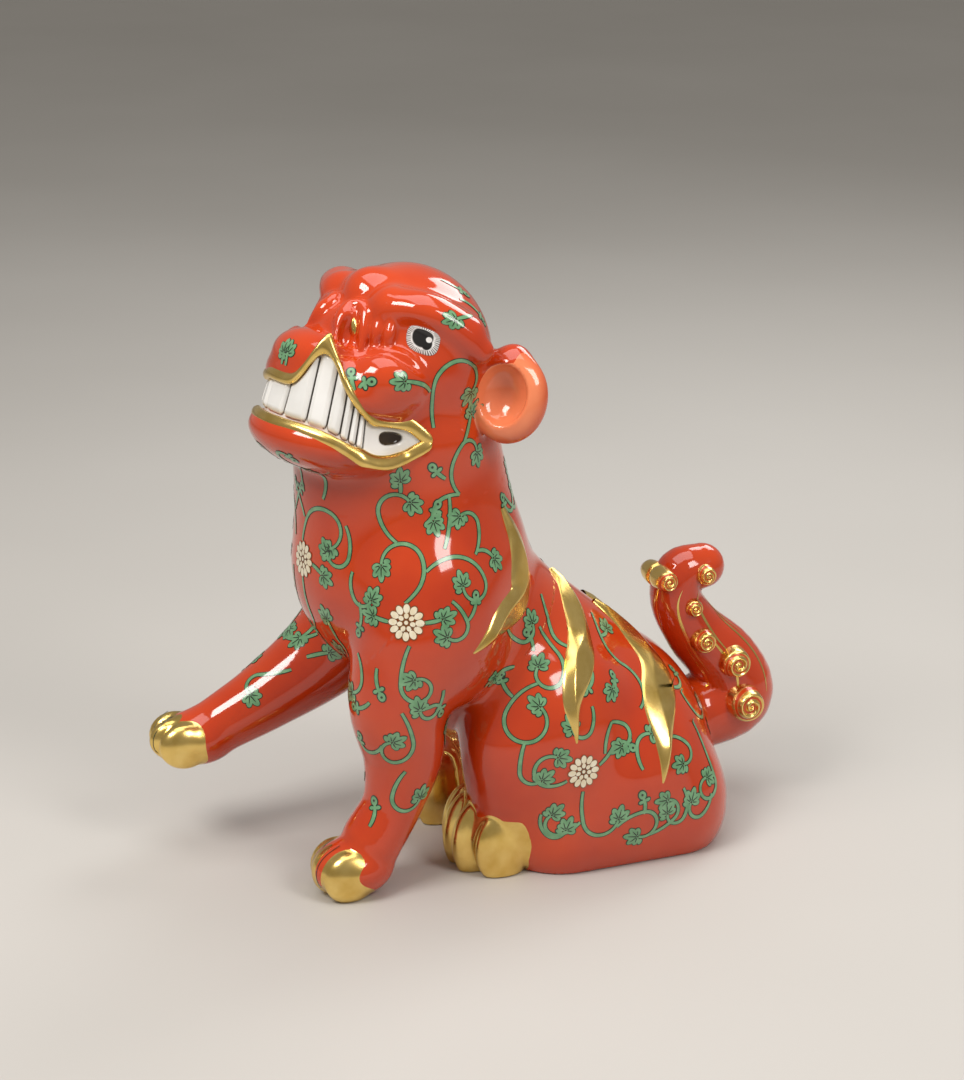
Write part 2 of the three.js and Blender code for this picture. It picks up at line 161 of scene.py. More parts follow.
def spline(rows, count):
    """count rows evenly spread on a Catmull-Rom curve through the given rows."""
    rows = np.asarray(rows, float)
    ends = np.vstack([2*rows[0] - rows[1], rows, 2*rows[-1] - rows[-2]])
    s = np.linspace(0, len(rows) - 1, count)
    i = np.minimum(s.astype(int), len(rows) - 2)
    t = (s - i)[:, None]
    a, b, c, d = ends[i], ends[i + 1], ends[i + 2], ends[i + 3]
    return 0.5*(2*b + (c - a)*t + (2*a - 5*b + 4*c - d)*t**2 + (3*b - a - 3*c + d)*t**3)


def tube(places, count=25):
    """A round tube through rows of x, y, z, radius."""
    rows = spline(places, count)
    axis, radius = rows[:, :3], rows[:, 3]

    def distance(p):
        best = np.full(len(p), 1e9)
        for i in range(len(axis) - 1):
            d = round_cone(p, axis[i], axis[i + 1], radius[i], radius[i + 1])
            np.minimum(best, d, out=best)
        return best
    middle = (axis.min(0) + axis.max(0))/2
    reach = np.linalg.norm(axis - middle, axis=1).max() + radius.max()
    return Form(distance, middle, reach)


def soft_min(a, b, blend):
    if blend <= 0:
        return np.minimum(a, b)
    h = np.maximum(blend - np.abs(a - b), 0)/blend
    return np.minimum(a, b) - h*h*h*blend/6


class Clay:
    """Forms joined and cut softly, one after another."""
    FAR, MARGIN = 60.0, 7.0

    def __init__(self, steps=()):
        self.steps = list(steps)

    def copy(self):
        return Clay(self.steps)

    def add(self, form, blend):
        self.steps.append((1, form, blend))

    def cut(self, form, blend):
        self.steps.append((-1, form, blend))

    def __call__(self, p):
        d = np.full(len(p), self.FAR)
        for sign, form, blend in self.steps:
            near = np.linalg.norm(p - form.centre, axis=1) < form.reach + blend + self.MARGIN
            if not near.any():
                continue
            here = form.distance(p[near])
            d[near] = sign*soft_min(sign*d[near], here, blend)
        return d


def normals_of(field, p, step=0.06):
    """Unit normals and slopes of a field, from four samples round each point."""
    total = np.zeros_like(p)
    for corner in ((1, 1, 1), (1, -1, -1), (-1, 1, -1), (-1, -1, 1)):
        offset = step*np.array(corner, float)
        total += offset*field(p + offset)[:, None]
    length = np.linalg.norm(total, axis=1)
    return total/np.maximum(length, 1e-12)[:, None], length/(4*step*step)


def settle(field, p, rounds=2, most=1.2):
    """The points moved onto the field's surface."""
    p = np.array(p, float)
    for _ in range(rounds):
        n, slope = normals_of(field, p)
        p -= n*np.clip(field(p)/np.maximum(slope, 0.3), -most, most)[:, None]
    return p


# ------------------------------------------------------------------ the head's frame, from the CAD eyes
def head_frame():
    left, right = node_middle("eye_left"), node_middle("eye_right")
    across = unit((left - right)*(1, 1, 0))
    yaw = math.degrees(math.atan2(across[1], across[0]))
    axes = turn_matrix((-HEAD_PITCH, 0, yaw))
    middle = (left + right)/2
    return middle - axes@np.array([0, -EYE_FORWARD, EYE_UP]), axes


HEAD, HEAD_AXES = head_frame()


def from_head(p):
    return np.asarray(p, float)@HEAD_AXES.T + HEAD


def to_head(p):
    return (p - HEAD)@HEAD_AXES


def in_head(form):
    return Form(lambda p: form.distance(to_head(p)), from_head(form.centre), form.reach)


# ------------------------------------------------------------------ the modelled figure
def trunk_clay():
    clay = Clay()
    clay.add(ball((0, -21, 82), (33, 31, 29)), 0)
    clay.add(limb((0, -25, 116), (0, -22, 90), 28.5, 31), 12)
    clay.add(limb((0, 0, 60), (0, 31, 29), 27, 31), 14)
    clay.add(ball((0, 33, 24), (41, 34, 29)), 12)
    clay.add(block((0, 31, 11), (40, 35, 20), 19), 10)
    for _, s in SIDES:
        clay.add(ball((s*23, 12, 34), (17, 26, 30), (0, 0, s*6)), 8)
        clay.add(ball((s*24, -24, 76), (15, 18, 26), (14, 0, 0)), 10)
        clay.add(limb((s*22, -2, 38), (s*21, 0, 14), 12, 11), 8)
    return clay


def foreleg_forms():
    planted = tube(((23, -29, 72, 16), (24, -34, 54, 13.7), (24, -33, 39, 11),
                    (24, -36, 25, 8.4), (24, -42, 15, 8.5)))
    raised = tube(((-23, -24, 68, 16), (-24, -38, 53, 13), (-24, -56, 42, 10), (-24, -73, 34, 8)))
    return planted, raised


def paw_toes():
    """For each paw, its toes as forms; the gilding follows them."""
    toes = {"forepaw_left": [], "forepaw_right": [], "hindpaw_left": [], "hindpaw_right": []}
    planted = node_middle("forepaw_left")
    raised = node_middle("forepaw_right")
    for dx, reach in ((-5.8, 7.4), (0, 8.8), (5.8, 7.4)):
        toes["forepaw_left"].append(
            ball((planted[0] + dx - 0.6, planted[1] + 2.5, 6.6), (3.9, reach, 7.4)))
        toes["forepaw_right"].append(
            ball((raised[0] + dx*0.92, raised[1] - 0.5, raised[2] - 0.8), (3.8, reach, 6.6), (-12, 0, 0)))
    for name, s in SIDES:
        low, high = node_box("hindpaw_" + name)
        x = (low[0] + high[0])/2
        for dx, y, height in ((-9.8, -8, 12.5), (-3.6, -10.2, 13), (2.8, -10, 12.5), (9.2, -5.6, 11)):
            toes["hindpaw_" + name].append(ball((x + s*dx, y, 8.4), (4.0, 8.4, height)))
    return toes


def head_clay(clay):
    def add(form, blend):
        clay.add(in_head(form), blend)
    add(ball((0, 2, 5), (27.5, 22, 25)), 8)
    add(ball((0, -9, 19), (11, 8, 8)), 6)
    add(ball((0, 4, -14), (27, 20, 16)), 8)
    add(ball((0, -14, -4), (25, 21, 12)), 6)
    add(ball((0, -15, -19), (24, 23, 10)), 4)
    add(ball((0, -17, 9), (10, 8, 8)), 5)
    add(ball((0, -27, 2), (14, 8, 7)), 5)
    for _, s in SIDES:
        add(ball((s*10, -12, 17), (6.5, 6.5, 6)), 4)
        add(tube(((s*13, -13, 19, 4), (s*20, -8, 20, 4.5), (s*25, 3, 16, 4.5))), 8)
        add(ball((s*5.2, -20, 10.5), (4, 4.5, 6.5), (25, 0, 0)), 2)
        add(ball((s*18, -13, 0.5), (9.5, 11.5, 8.5)), 3)
        add(ball((s*27.5, 18, 5), (7, 7, 10)), 6)
    return clay


def carve_face(clay):
    """The folds of the face that are too fine for the CAD."""
    def add(form, blend):
        clay.add(in_head(form), blend)

    def cut(form, blend):
        clay.cut(in_head(form), blend)
    add(ball((0, -12.5, 20), (7, 7, 7)), 4)
    for _, s in SIDES:
        nostril_arch = ((s*8.0, -25.4, 6.6, 0.7), (s*6.6, -24.2, 10.4, 1.5), (s*4.6, -23.0, 13.9, 1.7),
                        (s*4.2, -20.9, 16.6, 1.8), (s*6.2, -19.1, 17.4, 1.8), (s*9.4, -19.0, 15.4, 1.8),
                        (s*10.8, -19.6, 11.5, 1.7), (s*12.0, -20.4, 7.0, 0.8))
        add(tube(nostril_arch), 2.0)
        cut(ball((s*8.4, -23.4, 10.6), (1.8, 2.2, 4.4), (0, 0, s*20)), 2.2)
        for x, y in ((13.4, -17.4), (16.6, -15.8)):
            add(tube(((s*x, y, 7.6, 0.7), (s*(x + 0.2), y, 12, 1.6), (s*(x - 0.5), y + 0.5, 16, 0.7))), 2.0)
        under_eye = ((s*12, -28.6, 5.2, 0.5), (s*14.5, -22, 6.0, 1.0), (s*20, -18, 7.8, 1.2),
                     (s*25.5, -12, 5.6, 1.0), (s*28.5, -6, 4.4, 0.5))
        cut(tube(under_eye), 3.0)
        brow = ((s*16.5, -14.5, 19, 1.6), (s*22, -10.5, 19.4, 2.0), (s*26, -3, 17.5, 2.4), (s*29, 6, 12, 3))
        add(tube(brow), 5)
    return clay


def ear_clay(s):
    clay = Clay()
    clay.add(in_head(ball((s*29.5, 17.5, 0.8), (10.5, 5.5, 12.3), (0, 0, s*35))), 0)
    clay.cut(in_head(ear_dish(s)), 2)
    return clay


def ear_dish(s):
    return ball((s*31.4, 13, 1.6), (6.6, 5.4, 8), (0, 0, s*35))


# x, y, z and radius along the tail, from its root
TAIL_ROWS = ((0, 66, 26, 11), (0, 80, 31, 12), (0, 77, 42, 10.5), (0, 67, 53, 8.7), (0, 61, 63, 7.6),
             (0, 62, 71, 7.2), (0, 69, 72.5, 6.6))


# ------------------------------------------------------------------ the mouth, by angle from the front
def smooth_between(x, low, high):
    t = np.clip((x - low)/(high - low), 0, 1)
    return t*t*(3 - 2*t)


def upper_lip(angle):
    bend, peak = np.abs(angle), lip_peak(angle)
    fang = np.exp(-((bend - peak)/np.where(bend < peak, 13, 20))**2)
    return -5.6 - 5.4*smooth_between(bend, 40, 85) + np.where(angle > 0, RISE_LEFT, RISE_RIGHT)*fang


def lip_peak(angle):
    return np.where(angle > 0, PEAK_LEFT, PEAK_RIGHT)


def lower_lip(angle):
    bend = np.abs(angle)
    return -15.0 - 4.6*np.exp(-((bend - 84)/28)**2)


def surface_along(field, origin, direction, start=6.0, stop=60.0, step=0.5):
    """Where rays that start inside the field first leave it."""
    t = np.full(len(origin), start)
    live = np.ones(len(origin), bool)
    while live.any() and t[live].min() < stop:
        inside = np.zeros(len(origin), bool)
        inside[live] = field(origin[live] + direction[live]*t[live, None]) < 0
        live &= inside
        t[live] += step
    low, high = t - step, t
    for _ in range(12):
        middle = (low + high)/2
        inside = field(origin + direction*middle[:, None]) < 0
        low = np.where(inside, middle, low)
        high = np.where(inside, high, middle)
    return high


def mouth_rays(angle):
    turn = np.radians(angle)
    return np.stack([np.sin(turn), -np.cos(turn), np.zeros_like(turn)], -1)


class Mouth:
    """Points of the band between the lips: an angle, a share from the lower lip to the upper, and a depth."""

    def __init__(self, field):
        self.angles = np.linspace(-MOUTH_END, MOUTH_END, 181)
        rays = mouth_rays(self.angles)
        self.low, self.high = (self.edge(field, rays, lip(self.angles)) for lip in (lower_lip, upper_lip))

    def edge(self, field, rays, height):
        origin = np.column_stack([np.zeros_like(height), np.full_like(height, -JAW_CENTRE), height])
        return surface_along(field, from_head(origin), rays@HEAD_AXES.T)

    def at(self, angle, share, depth):
        rays = mouth_rays(angle)
        ends = []
        for lip, reach in ((lower_lip, self.low), (upper_lip, self.high)):
            height = lip(angle)
            base = np.column_stack([np.zeros_like(height), np.full_like(height, -JAW_CENTRE), height])
            distance = np.interp(angle, self.angles, reach) + depth
            ends.append(base + rays*distance[:, None])
        share = np.asarray(share, float)[:, None]
        return from_head(ends[0]*(1 - share) + ends[1]*share)


# ------------------------------------------------------------------ skinning a field
def skin(field, low, high, step, coarse=6):
    """Vertices and quads of the field's surface by surface nets."""
    low, high = np.asarray(low, float), np.asarray(high, float)
    blocks = np.ceil((high - low)/(step*coarse)).astype(int)
    cells = np.stack(np.meshgrid(*[np.arange(k) for k in blocks], indexing="ij"), -1).reshape(-1, 3)
    distance = field(low + (cells + 0.5)*step*coarse)
    live = np.abs(distance) < step*coarse*1.3 + 1.0
    size = blocks*coarse + 1
    values = np.full(size, 60, np.float32)
    sign = np.where(distance < 0, -60.0, 60.0).reshape(blocks).astype(np.float32)
    values[:-1, :-1, :-1] = np.kron(sign, np.ones((coarse,)*3, np.float32))
    offsets = np.stack(np.meshgrid(*[np.arange(coarse + 1)]*3, indexing="ij"), -1).reshape(-1, 3)
    index = ((cells[live]*coarse)[:, None, :] + offsets[None]).reshape(-1, 3)
    flat = np.unique(np.ravel_multi_index(index.T, size))
    corners = np.stack(np.unravel_index(flat, size), -1)
    for start in range(0, len(flat), 300000):
        part = slice(start, start + 300000)
        values.ravel()[flat[part]] = field(low + corners[part]*step)
    inside = values < 0
    count = np.zeros(tuple(k - 1 for k in size), np.int8)
    unit_cube = [(a, b, c) for a in (0, 1) for b in (0, 1) for c in (0, 1)]
    for a, b, c in unit_cube:
        count += inside[a:size[0] - 1 + a, b:size[1] - 1 + b, c:size[2] - 1 + c]
    mixed = (count > 0) & (count < 8)
    cells = np.argwhere(mixed)
    numbering = np.full(mixed.shape, -1, np.int64)
    numbering[mixed] = np.arange(len(cells))
    total, hits = np.zeros((len(cells), 3)), np.zeros(len(cells))
    for corner in unit_cube:
        for axis in range(3):
            if corner[axis]:
                continue
            other = list(corner)
            other[axis] = 1
            va = values[tuple((cells + corner).T)]
            vb = values[tuple((cells + other).T)]
            crossed = (va < 0) != (vb < 0)
            point = np.tile(np.array(corner, float), (crossed.sum(), 1))
            point[:, axis] = va[crossed]/(va[crossed] - vb[crossed])
            total[crossed] += point
            hits[crossed] += 1
    verts = low + (cells + total/hits[:, None])*step
    quads = []
    for axis in range(3):
        inner = [slice(1, k - 1) for k in size]
        first, second = list(inner), list(inner)
        first[axis], second[axis] = slice(0, size[axis] - 1), slice(1, size[axis])
        a, b = inside[tuple(first)], inside[tuple(second)]
        u, v = [k for k in range(3) if k != axis]
        for leaving, where in ((True, a & ~b), (False, ~a & b)):
            cell = np.argwhere(where) + np.array([int(k != axis) for k in range(3)])
            ring = []
            for du, dv in ((-1, -1), (0, -1), (0, 0), (-1, 0)):
                q = cell.copy()
                q[:, u] += du
                q[:, v] += dv
                ring.append(numbering[tuple(q.T)])
            ring = np.stack(ring, 1)
            quads.append(ring if leaving ^ (axis == 1) else ring[:, ::-1])
    return verts, np.vstack(quads)


def triangles_of(quads):
    return np.vstack([quads[:, [0, 1, 2]], quads[:, [0, 2, 3]]])


def split(verts, tris, values):
    """The mesh cut where values are zero: the triangles with values below it, and the rest."""
    below = values < 0
    tri_below = below[tris]
    count = tri_below.sum(1)
    cut = (count > 0) & (count < 3)
    edges = np.vstack([tris[cut][:, [0, 1]], tris[cut][:, [1, 2]], tris[cut][:, [2, 0]]])
    edges = np.sort(edges, axis=1)
    edges = edges[below[edges[:, 0]] != below[edges[:, 1]]]
    pairs = np.unique(edges[:, 0]*len(verts) + edges[:, 1])
    a, b = pairs//len(verts), pairs % len(verts)
    t = values[a]/(values[a] - values[b])
    added = verts[a] + (verts[b] - verts[a])*t[:, None]
    out = np.vstack([verts, added])

    def crossing(i, j):
        low, high = np.minimum(i, j), np.maximum(i, j)
        return len(verts) + np.searchsorted(pairs, low*len(verts) + high)
    parts = {True: [tris[count == 3]], False: [tris[count == 0]]}
    for lone in (True, False):
        chosen = tris[cut & (count == (1 if lone else 2))]
        flags = below[chosen]
        turn = np.argmax(flags == lone, axis=1)
        rows = np.arange(len(chosen))
        i, j, k = (chosen[rows, (turn + n) % 3] for n in range(3))
        ij, ik = crossing(i, j), crossing(i, k)
        parts[lone].append(np.stack([i, ij, ik], 1))
        parts[not lone] += [np.stack([ij, j, k], 1), np.stack([ij, k, ik], 1)]
    return out, np.vstack(parts[True]), np.vstack(parts[False])


def compact(verts, tris):
    used, inverse = np.unique(tris, return_inverse=True)
    return verts[used], inverse.reshape(-1, 3)


# ------------------------------------------------------------------ meshes and objects
def mesh_object(name, verts, faces, material, normals=None, attributes=None):
    """A Blender object from millimetre vertices; it rides on the CAD's root body."""
    mesh = bpy.data.meshes.new(name)
    faces = [faces] if isinstance(faces, np.ndarray) else faces
    sizes = np.concatenate([np.full(len(f), f.shape[1]) for f in faces])
    loops = np.concatenate([f.ravel() for f in faces]).astype(np.int32)
    mesh.vertices.add(len(verts))
    mesh.vertices.foreach_set("co", (np.asarray(verts)*MM).astype(np.float32).ravel())
    mesh.loops.add(len(loops))
    mesh.loops.foreach_set("vertex_index", loops)
    mesh.polygons.add(len(sizes))
    mesh.polygons.foreach_set("loop_start", np.concatenate([[0], np.cumsum(sizes)[:-1]]).astype(np.int32))
    mesh.update(calc_edges=True)
    mesh.validate()
    for key, values in (attributes or {}).items():
        layer = mesh.attributes.new(key, "FLOAT", "POINT")
        layer.data.foreach_set("value", np.asarray(values, np.float32))
    mesh.polygons.foreach_set("use_smooth", np.ones(len(mesh.polygons), bool))
    if normals is not None:
        mesh.normals_split_custom_set_from_vertices(np.asarray(normals, np.float32).tolist())
    mesh.materials.append(material)
    obj = bpy.data.objects.new(name, mesh)
    bpy.context.scene.collection.objects.link(obj)
    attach(obj, "root")
    return obj


def shell(verts, tris, normals, thickness):
    """An open surface made a closed shell, its inner side a thickness below."""
    n = len(verts)
    inner = tris[:, ::-1] + n
    edges = np.vstack([tris[:, [0, 1]], tris[:, [1, 2]], tris[:, [2, 0]]])
    keys = edges[:, 0]*n + edges[:, 1]
    rim = edges[~np.isin(edges[:, 1]*n + edges[:, 0], keys)]
    walls = np.column_stack([rim[:, 1], rim[:, 0], rim[:, 0] + n, rim[:, 1] + n])
    all_verts = np.vstack([verts, verts - normals*thickness])
    all_normals = np.vstack([normals, -normals])
    return all_verts, [np.vstack([tris, inner]), walls], all_normals


# ------------------------------------------------------------------ materials
def material(name):
    m = bpy.data.materials.new(name)
    m.use_nodes = True
    return m, m.node_tree, m.node_tree.nodes["Principled BSDF"]


def add_node(tree, kind, **inputs):
    node = tree.nodes.new(kind)
    for key, value in inputs.items():
        node.inputs[key].default_value = value
    return node


def mottled(tree, scale, low, high, detail=3.0):
    """A colour that drifts softly between two others over the object."""
    coords = tree.nodes.new("ShaderNodeTexCoord")
    noise = add_node(tree, "ShaderNodeTexNoise", Scale=scale, Detail=detail)
    tree.links.new(coords.outputs["Object"], noise.inputs["Vector"])
    ramp = tree.nodes.new("ShaderNodeValToRGB")
    ramp.color_ramp.elements[0].position = 0.3
    ramp.color_ramp.elements[1].position = 0.7
    ramp.color_ramp.elements[0].color = (*low, 1)
    ramp.color_ramp.elements[1].color = (*high, 1)
    tree.links.new(noise.outputs["Fac"], ramp.inputs["Fac"])
    return ramp.outputs["Color"], noise.outputs["Fac"]


def clear_coat(shader, roughness):
    shader.inputs["Roughness"].default_value = roughness
    shader.inputs["Coat Weight"].default_value = 0.35
    shader.inputs["Coat Roughness"].default_value = 0.03


def glaze(name, low, high, roughness, scale):
    m, tree, shader = material(name)
    colour, _ = mottled(tree, scale, low, high)
    tree.links.new(colour, shader.inputs["Base Color"])
    clear_coat(shader, roughness)
    shader.inputs["IOR"].default_value = 1.55
    return m


GOLD_LOW, GOLD_HIGH = (0.72, 0.48, 0.12), (0.90, 0.66, 0.23)
GOLD_ROUGHNESS = 0.24


def gold():
    m, tree, shader = material("gilding")
    colour, fac = mottled(tree, 180.0, GOLD_LOW, GOLD_HIGH, 5.0)
    tree.links.new(colour, shader.inputs["Base Color"])
    shader.inputs["Metallic"].default_value = 1.0
    shader.inputs["Roughness"].default_value = GOLD_ROUGHNESS
    bump = add_node(tree, "ShaderNodeBump", Strength=0.08, Distance=0.0002)
    tree.links.new(fac, bump.inputs["Height"])
    tree.links.new(bump.outputs["Normal"], shader.inputs["Normal"])
    return m


def blend_by(tree, name, under, over):
    """Mix two colour sockets by a painted attribute."""
    attribute = tree.nodes.new("ShaderNodeAttribute")
    attribute.attribute_name = name
    mix = tree.nodes.new("ShaderNodeMix")
    mix.data_type = "RGBA"
    tree.links.new(attribute.outputs["Fac"], mix.inputs["Factor"])
    tree.links.new(under, mix.inputs[6])
    tree.links.new(over, mix.inputs[7])
    return mix.outputs[2]


def painted(name, low, high, paint, paint_low, paint_high, roughness=0.1, metal=False):
    """A glaze with a second colour brushed on wherever the attribute asks for it."""
    m, tree, shader = material(name)
    under, _ = mottled(tree, 60.0, low, high)
    over, _ = mottled(tree, 90.0, paint_low, paint_high)
    tree.links.new(blend_by(tree, paint, under, over), shader.inputs["Base Color"])
    if metal:
        bare = add_node(tree, "ShaderNodeMath")
        bare.operation = "SUBTRACT"
        bare.inputs[0].default_value = 1.0
        attribute = tree.nodes.new("ShaderNodeAttribute")
        attribute.attribute_name = paint
        tree.links.new(attribute.outputs["Fac"], bare.inputs[1])
        tree.links.new(bare.outputs[0], shader.inputs["Metallic"])
    clear_coat(shader, roughness)
    return m


RED_LOW, RED_HIGH = (0.47, 0.034, 0.004), (0.57, 0.052, 0.006)
RED = glaze("red_glaze", RED_LOW, RED_HIGH, 0.09, 45.0)
GOLD = gold()
EAR = painted("ear_glaze", RED_LOW, RED_HIGH, "peach", (0.76, 0.20, 0.085), (0.82, 0.25, 0.11))
TEETH = painted("tooth_glaze", (0.72, 0.71, 0.68), (0.84, 0.83, 0.81),
                "ink", (0.020, 0.011, 0.005), (0.045, 0.026, 0.010))
EYE = painted("eye_glaze", (0.78, 0.77, 0.75), (0.86, 0.86, 0.84),
              "ink", (0.006, 0.005, 0.005), (0.014, 0.012, 0.012))
CURL_GOLD = painted("curl_gilding", GOLD_LOW, GOLD_HIGH, "groove", RED_LOW, RED_HIGH, GOLD_ROUGHNESS, True)
LEAF = glaze("green_enamel", (0.105, 0.265, 0.125), (0.185, 0.385, 0.20), 0.16, 400.0)
OUTLINE = glaze("outline_enamel", (0.010, 0.020, 0.010), (0.022, 0.040, 0.020), 0.2, 300.0)
CREAM = glaze("cream_enamel", (0.72, 0.62, 0.42), (0.82, 0.76, 0.60), 0.2, 500.0)
BROWN = glaze("brown_enamel", (0.14, 0.055, 0.015), (0.24, 0.10, 0.03), 0.2, 300.0)


# ------------------------------------------------------------------ the red figure and its sections
TRUNK = trunk_clay()
SMOOTH_HEAD = head_clay(TRUNK.copy())
MOUTH = Mouth(SMOOTH_HEAD)
FACE = carve_face(SMOOTH_HEAD.copy())
TOES = paw_toes()
PLANTED, RAISED = foreleg_forms()
TAIL = tube(TAIL_ROWS, 31)
EARS = {name: ear_clay(s) for name, s in SIDES}


def figure_clay():
    clay = FACE.copy()
    clay.add(PLANTED, 7)
    clay.add(RAISED, 8)
    clay.add(ball((24, -48, 7.5), (10, 11.5, 8)), 4)
    clay.add(ball((-24, -78, 32), (9, 10, 7.6), (-10, 0, 0)), 4)
    for _, s in SIDES:
        clay.add(ball((s*21, -5, 10), (12, 10.5, 12)), 4)
    for forms in TOES.values():
        for form in forms:
            clay.add(form, 1.2)
    clay.add(TAIL, 4)
    for ear in EARS.values():
        clay.add(Form(ear, ear.steps[0][1].centre, ear.steps[0][1].reach), 3)
    for _, s in SIDES:
        clay.cut(in_head(ear_dish(s)), 1.5)
    clay.cut(block((0, 0, -40), (200, 200, 40), 0.0), 0.8)
    return clay


FIGURE_CLAY = figure_clay()


def mouth_mask(p):
    """Negative between the lips."""
    q = to_head(p)
    angle = np.degrees(np.arctan2(q[:, 0], -q[:, 1] - JAW_CENTRE))
    arc = 0.42*(np.abs(angle) - MOUTH_END + 1)
    return np.maximum(np.maximum(q[:, 2] - upper_lip(angle), lower_lip(angle) - q[:, 2]), arc)


def figure(p):
    """The whole figure, with the mouth hollowed out behind the lips."""
    d = FIGURE_CLAY(p)
    near = (np.linalg.norm(p - from_head((0, -14, -8)), axis=1) < 42) & (np.abs(d) < 8)
    if near.any():
        q = p[near]
        cutter = np.maximum(mouth_mask(q), -(d[near] + GUM_DEPTH))
        d[near] = -soft_min(-d[near], cutter, 0.8)
    return d


def least(forms, p, reach):
    return np.min([form.distance(p) for form in forms], axis=0) - reach


def gilded_paw(p, paw, forms):
    """Negative on the gilt of a paw; on the hind paws it runs back along the flank to an upright edge."""
    toes = least(forms, p, 0.9)
    if not paw.startswith("hind"):
        return toes
    s = dict(SIDES)[paw[8:]]
    flank = np.maximum.reduce([p[:, 1] - 0.8, p[:, 2] - 17.5 + 0.5*np.maximum(p[:, 1] + 3, 0)**2,
                               -22 - p[:, 1], 10 - s*p[:, 0]])
    return np.minimum(toes, flank)


def build_figure():
    low, high = (np.array(corner)/MM for corner in CAD_BOX)
    verts, quads = skin(figure, low - 3, high + 3, SKIN_STEP)
    verts = settle(figure, verts, 2)
    rest = triangles_of(quads)
    regions = {}
    for paw, forms in TOES.items():
        regions[paw] = lambda p, paw=paw, forms=forms: gilded_paw(p, paw, forms)
    for name, ear in EARS.items():
        regions["ear_" + name] = lambda p, ear=ear: ear(p) - 0.8
    regions["tail_plume"] = lambda p: np.maximum(TAIL.distance(p) - 0.4, 60 - p[:, 1])
    regions["head"] = lambda p: node_box("head")[0][2] - p[:, 2]
    regions["foreleg_left"] = lambda p: np.maximum(PLANTED.distance(p) - 3, p[:, 2] - 62)
    regions["foreleg_right"] = lambda p: np.maximum(RAISED.distance(p) - 3, p[:, 1] + 34)
    regions["torso"] = None
    for name, region in regions.items():
        if region is None:
            inside = rest
        else:
            verts, inside, rest = split(verts, rest, region(verts))
        part, tris = compact(verts, inside)
        normals, _ = normals_of(figure, part)
        all_verts, faces, all_normals = shell(part, tris, normals, GLAZE_THICKNESS)
        attributes = None
        glaze_here = GOLD if "paw" in name else RED
        if name.startswith("ear"):
            glaze_here = EAR
            attributes = {"peach": np.tile(peach_of(name[4:], part), 2)}
        obj = mesh_object(name + "_glazed", all_verts, faces, glaze_here, all_normals, attributes)
        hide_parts(name)


def peach_of(side, p):
    """How far the dish of an ear is washed with peach."""
    s = dict(SIDES)[side]
    return 1 - smooth_between(in_head(ear_dish(s)).distance(p), 2.0, 7.5)


# ------------------------------------------------------------------ lips and teeth
def grid_faces(rows, columns, closed=False):
    """Quads of a grid whose points run row by row; closed joins the last column to the first."""
    r, c = np.meshgrid(np.arange(rows - 1), np.arange(columns if closed else columns - 1), indexing="ij")
    a = (r*columns + c).ravel()
    b = (r*columns + (c + 1) % columns).ravel()
    return np.column_stack([a, b, b + columns, a + columns])


def grid_normals(points, closed=False):
    """Unit normals of a rows x columns x 3 grid."""
    down = np.gradient(points, axis=0)
    if closed:
        across = np.roll(points, -1, axis=1) - np.roll(points, 1, axis=1)
    else:
        across = np.gradient(points, axis=1)
    return unit(np.cross(across, down))


def grid_skin(points, out, closed=False, rows=None):
    """Normals and quads of a grid, turned so that its first rows face out."""
    normals = grid_normals(points, closed)
    faces = grid_faces(*points.shape[:2], closed)
    if (normals*out).sum(-1)[:rows].mean() < 0:
        normals, faces = -normals, faces[:, ::-1]
    return normals, faces


def domed(field, place, n, radius, height, sunk):
    """A dome that swells along n from a patch laid on the field; radius is 0 at its middle, 1 at its rim."""
    base = settle(field, place.reshape(-1, 3), 3).reshape(place.shape)
    return base + n*(height*np.sqrt(1 - 0.97*radius**2) - sunk)[..., None]


def polar_grid(rings, degrees):
    """Shares of the radius, 0 to 1, and angles in radians, as two grids."""
    return np.meshgrid(np.linspace(0, 1, rings), np.radians(np.arange(0, 360, degrees)), indexing="ij")


def lip_share(angle, upper):
    """The lips part from the corner of the mouth: 1 is the upper edge, 0 the lower."""
    closing = smooth_between(np.abs(angle), MOUTH_END - 10, MOUTH_END + 5)
    return 1 - 0.5*closing if upper else 0.5*closing


def build_lip(name, upper):
    angle = np.linspace(-MOUTH_END - 4, MOUTH_END + 4, 300)
    bend = np.abs(angle)
    around = np.radians(np.arange(0, 360, 15))
    peak = np.exp(-((bend - lip_peak(angle))/5.5)**2)*(angle > 0) if upper else 0
    lobes = np.exp(-((bend - (78 if upper else 72))/5)**2)
    height = 1.65 + 0.35*smooth_between(bend, 50, 90) + 0.5*lobes + 1.2*peak
    bulge = 1.3 + 0.35*lobes + 0.3*peak
    tip = np.sqrt(np.clip((MOUTH_END + 4.3 - bend)/7, 0.02, 1))
    share = lip_share(angle, upper)
    parted = 1 - smooth_between(bend, MOUTH_END - 12, MOUTH_END + 3)
    lift = (1.15*parted + 1.0*peak) if upper else -1.15*parted
    centre = MOUTH.at(angle, share, np.full_like(angle, -0.1))
    out = mouth_rays(angle)@HEAD_AXES.T
    level = np.zeros_like(angle)
    up = unit(MOUTH.at(angle, share + 0.05, level) - MOUTH.at(angle, share - 0.05, level))
    centre = centre + up*lift[:, None]
    ring = (centre[:, None] + out[:, None]*((bulge*tip)[:, None]*np.cos(around))[..., None]
            + up[:, None]*((height*tip)[:, None]*np.sin(around))[..., None])
    normals, faces = grid_skin(ring, ring - centre[:, None], closed=True)
    obj = mesh_object(name + "_gilded", ring.reshape(-1, 3), faces, GOLD, normals.reshape(-1, 3))
    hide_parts(name)


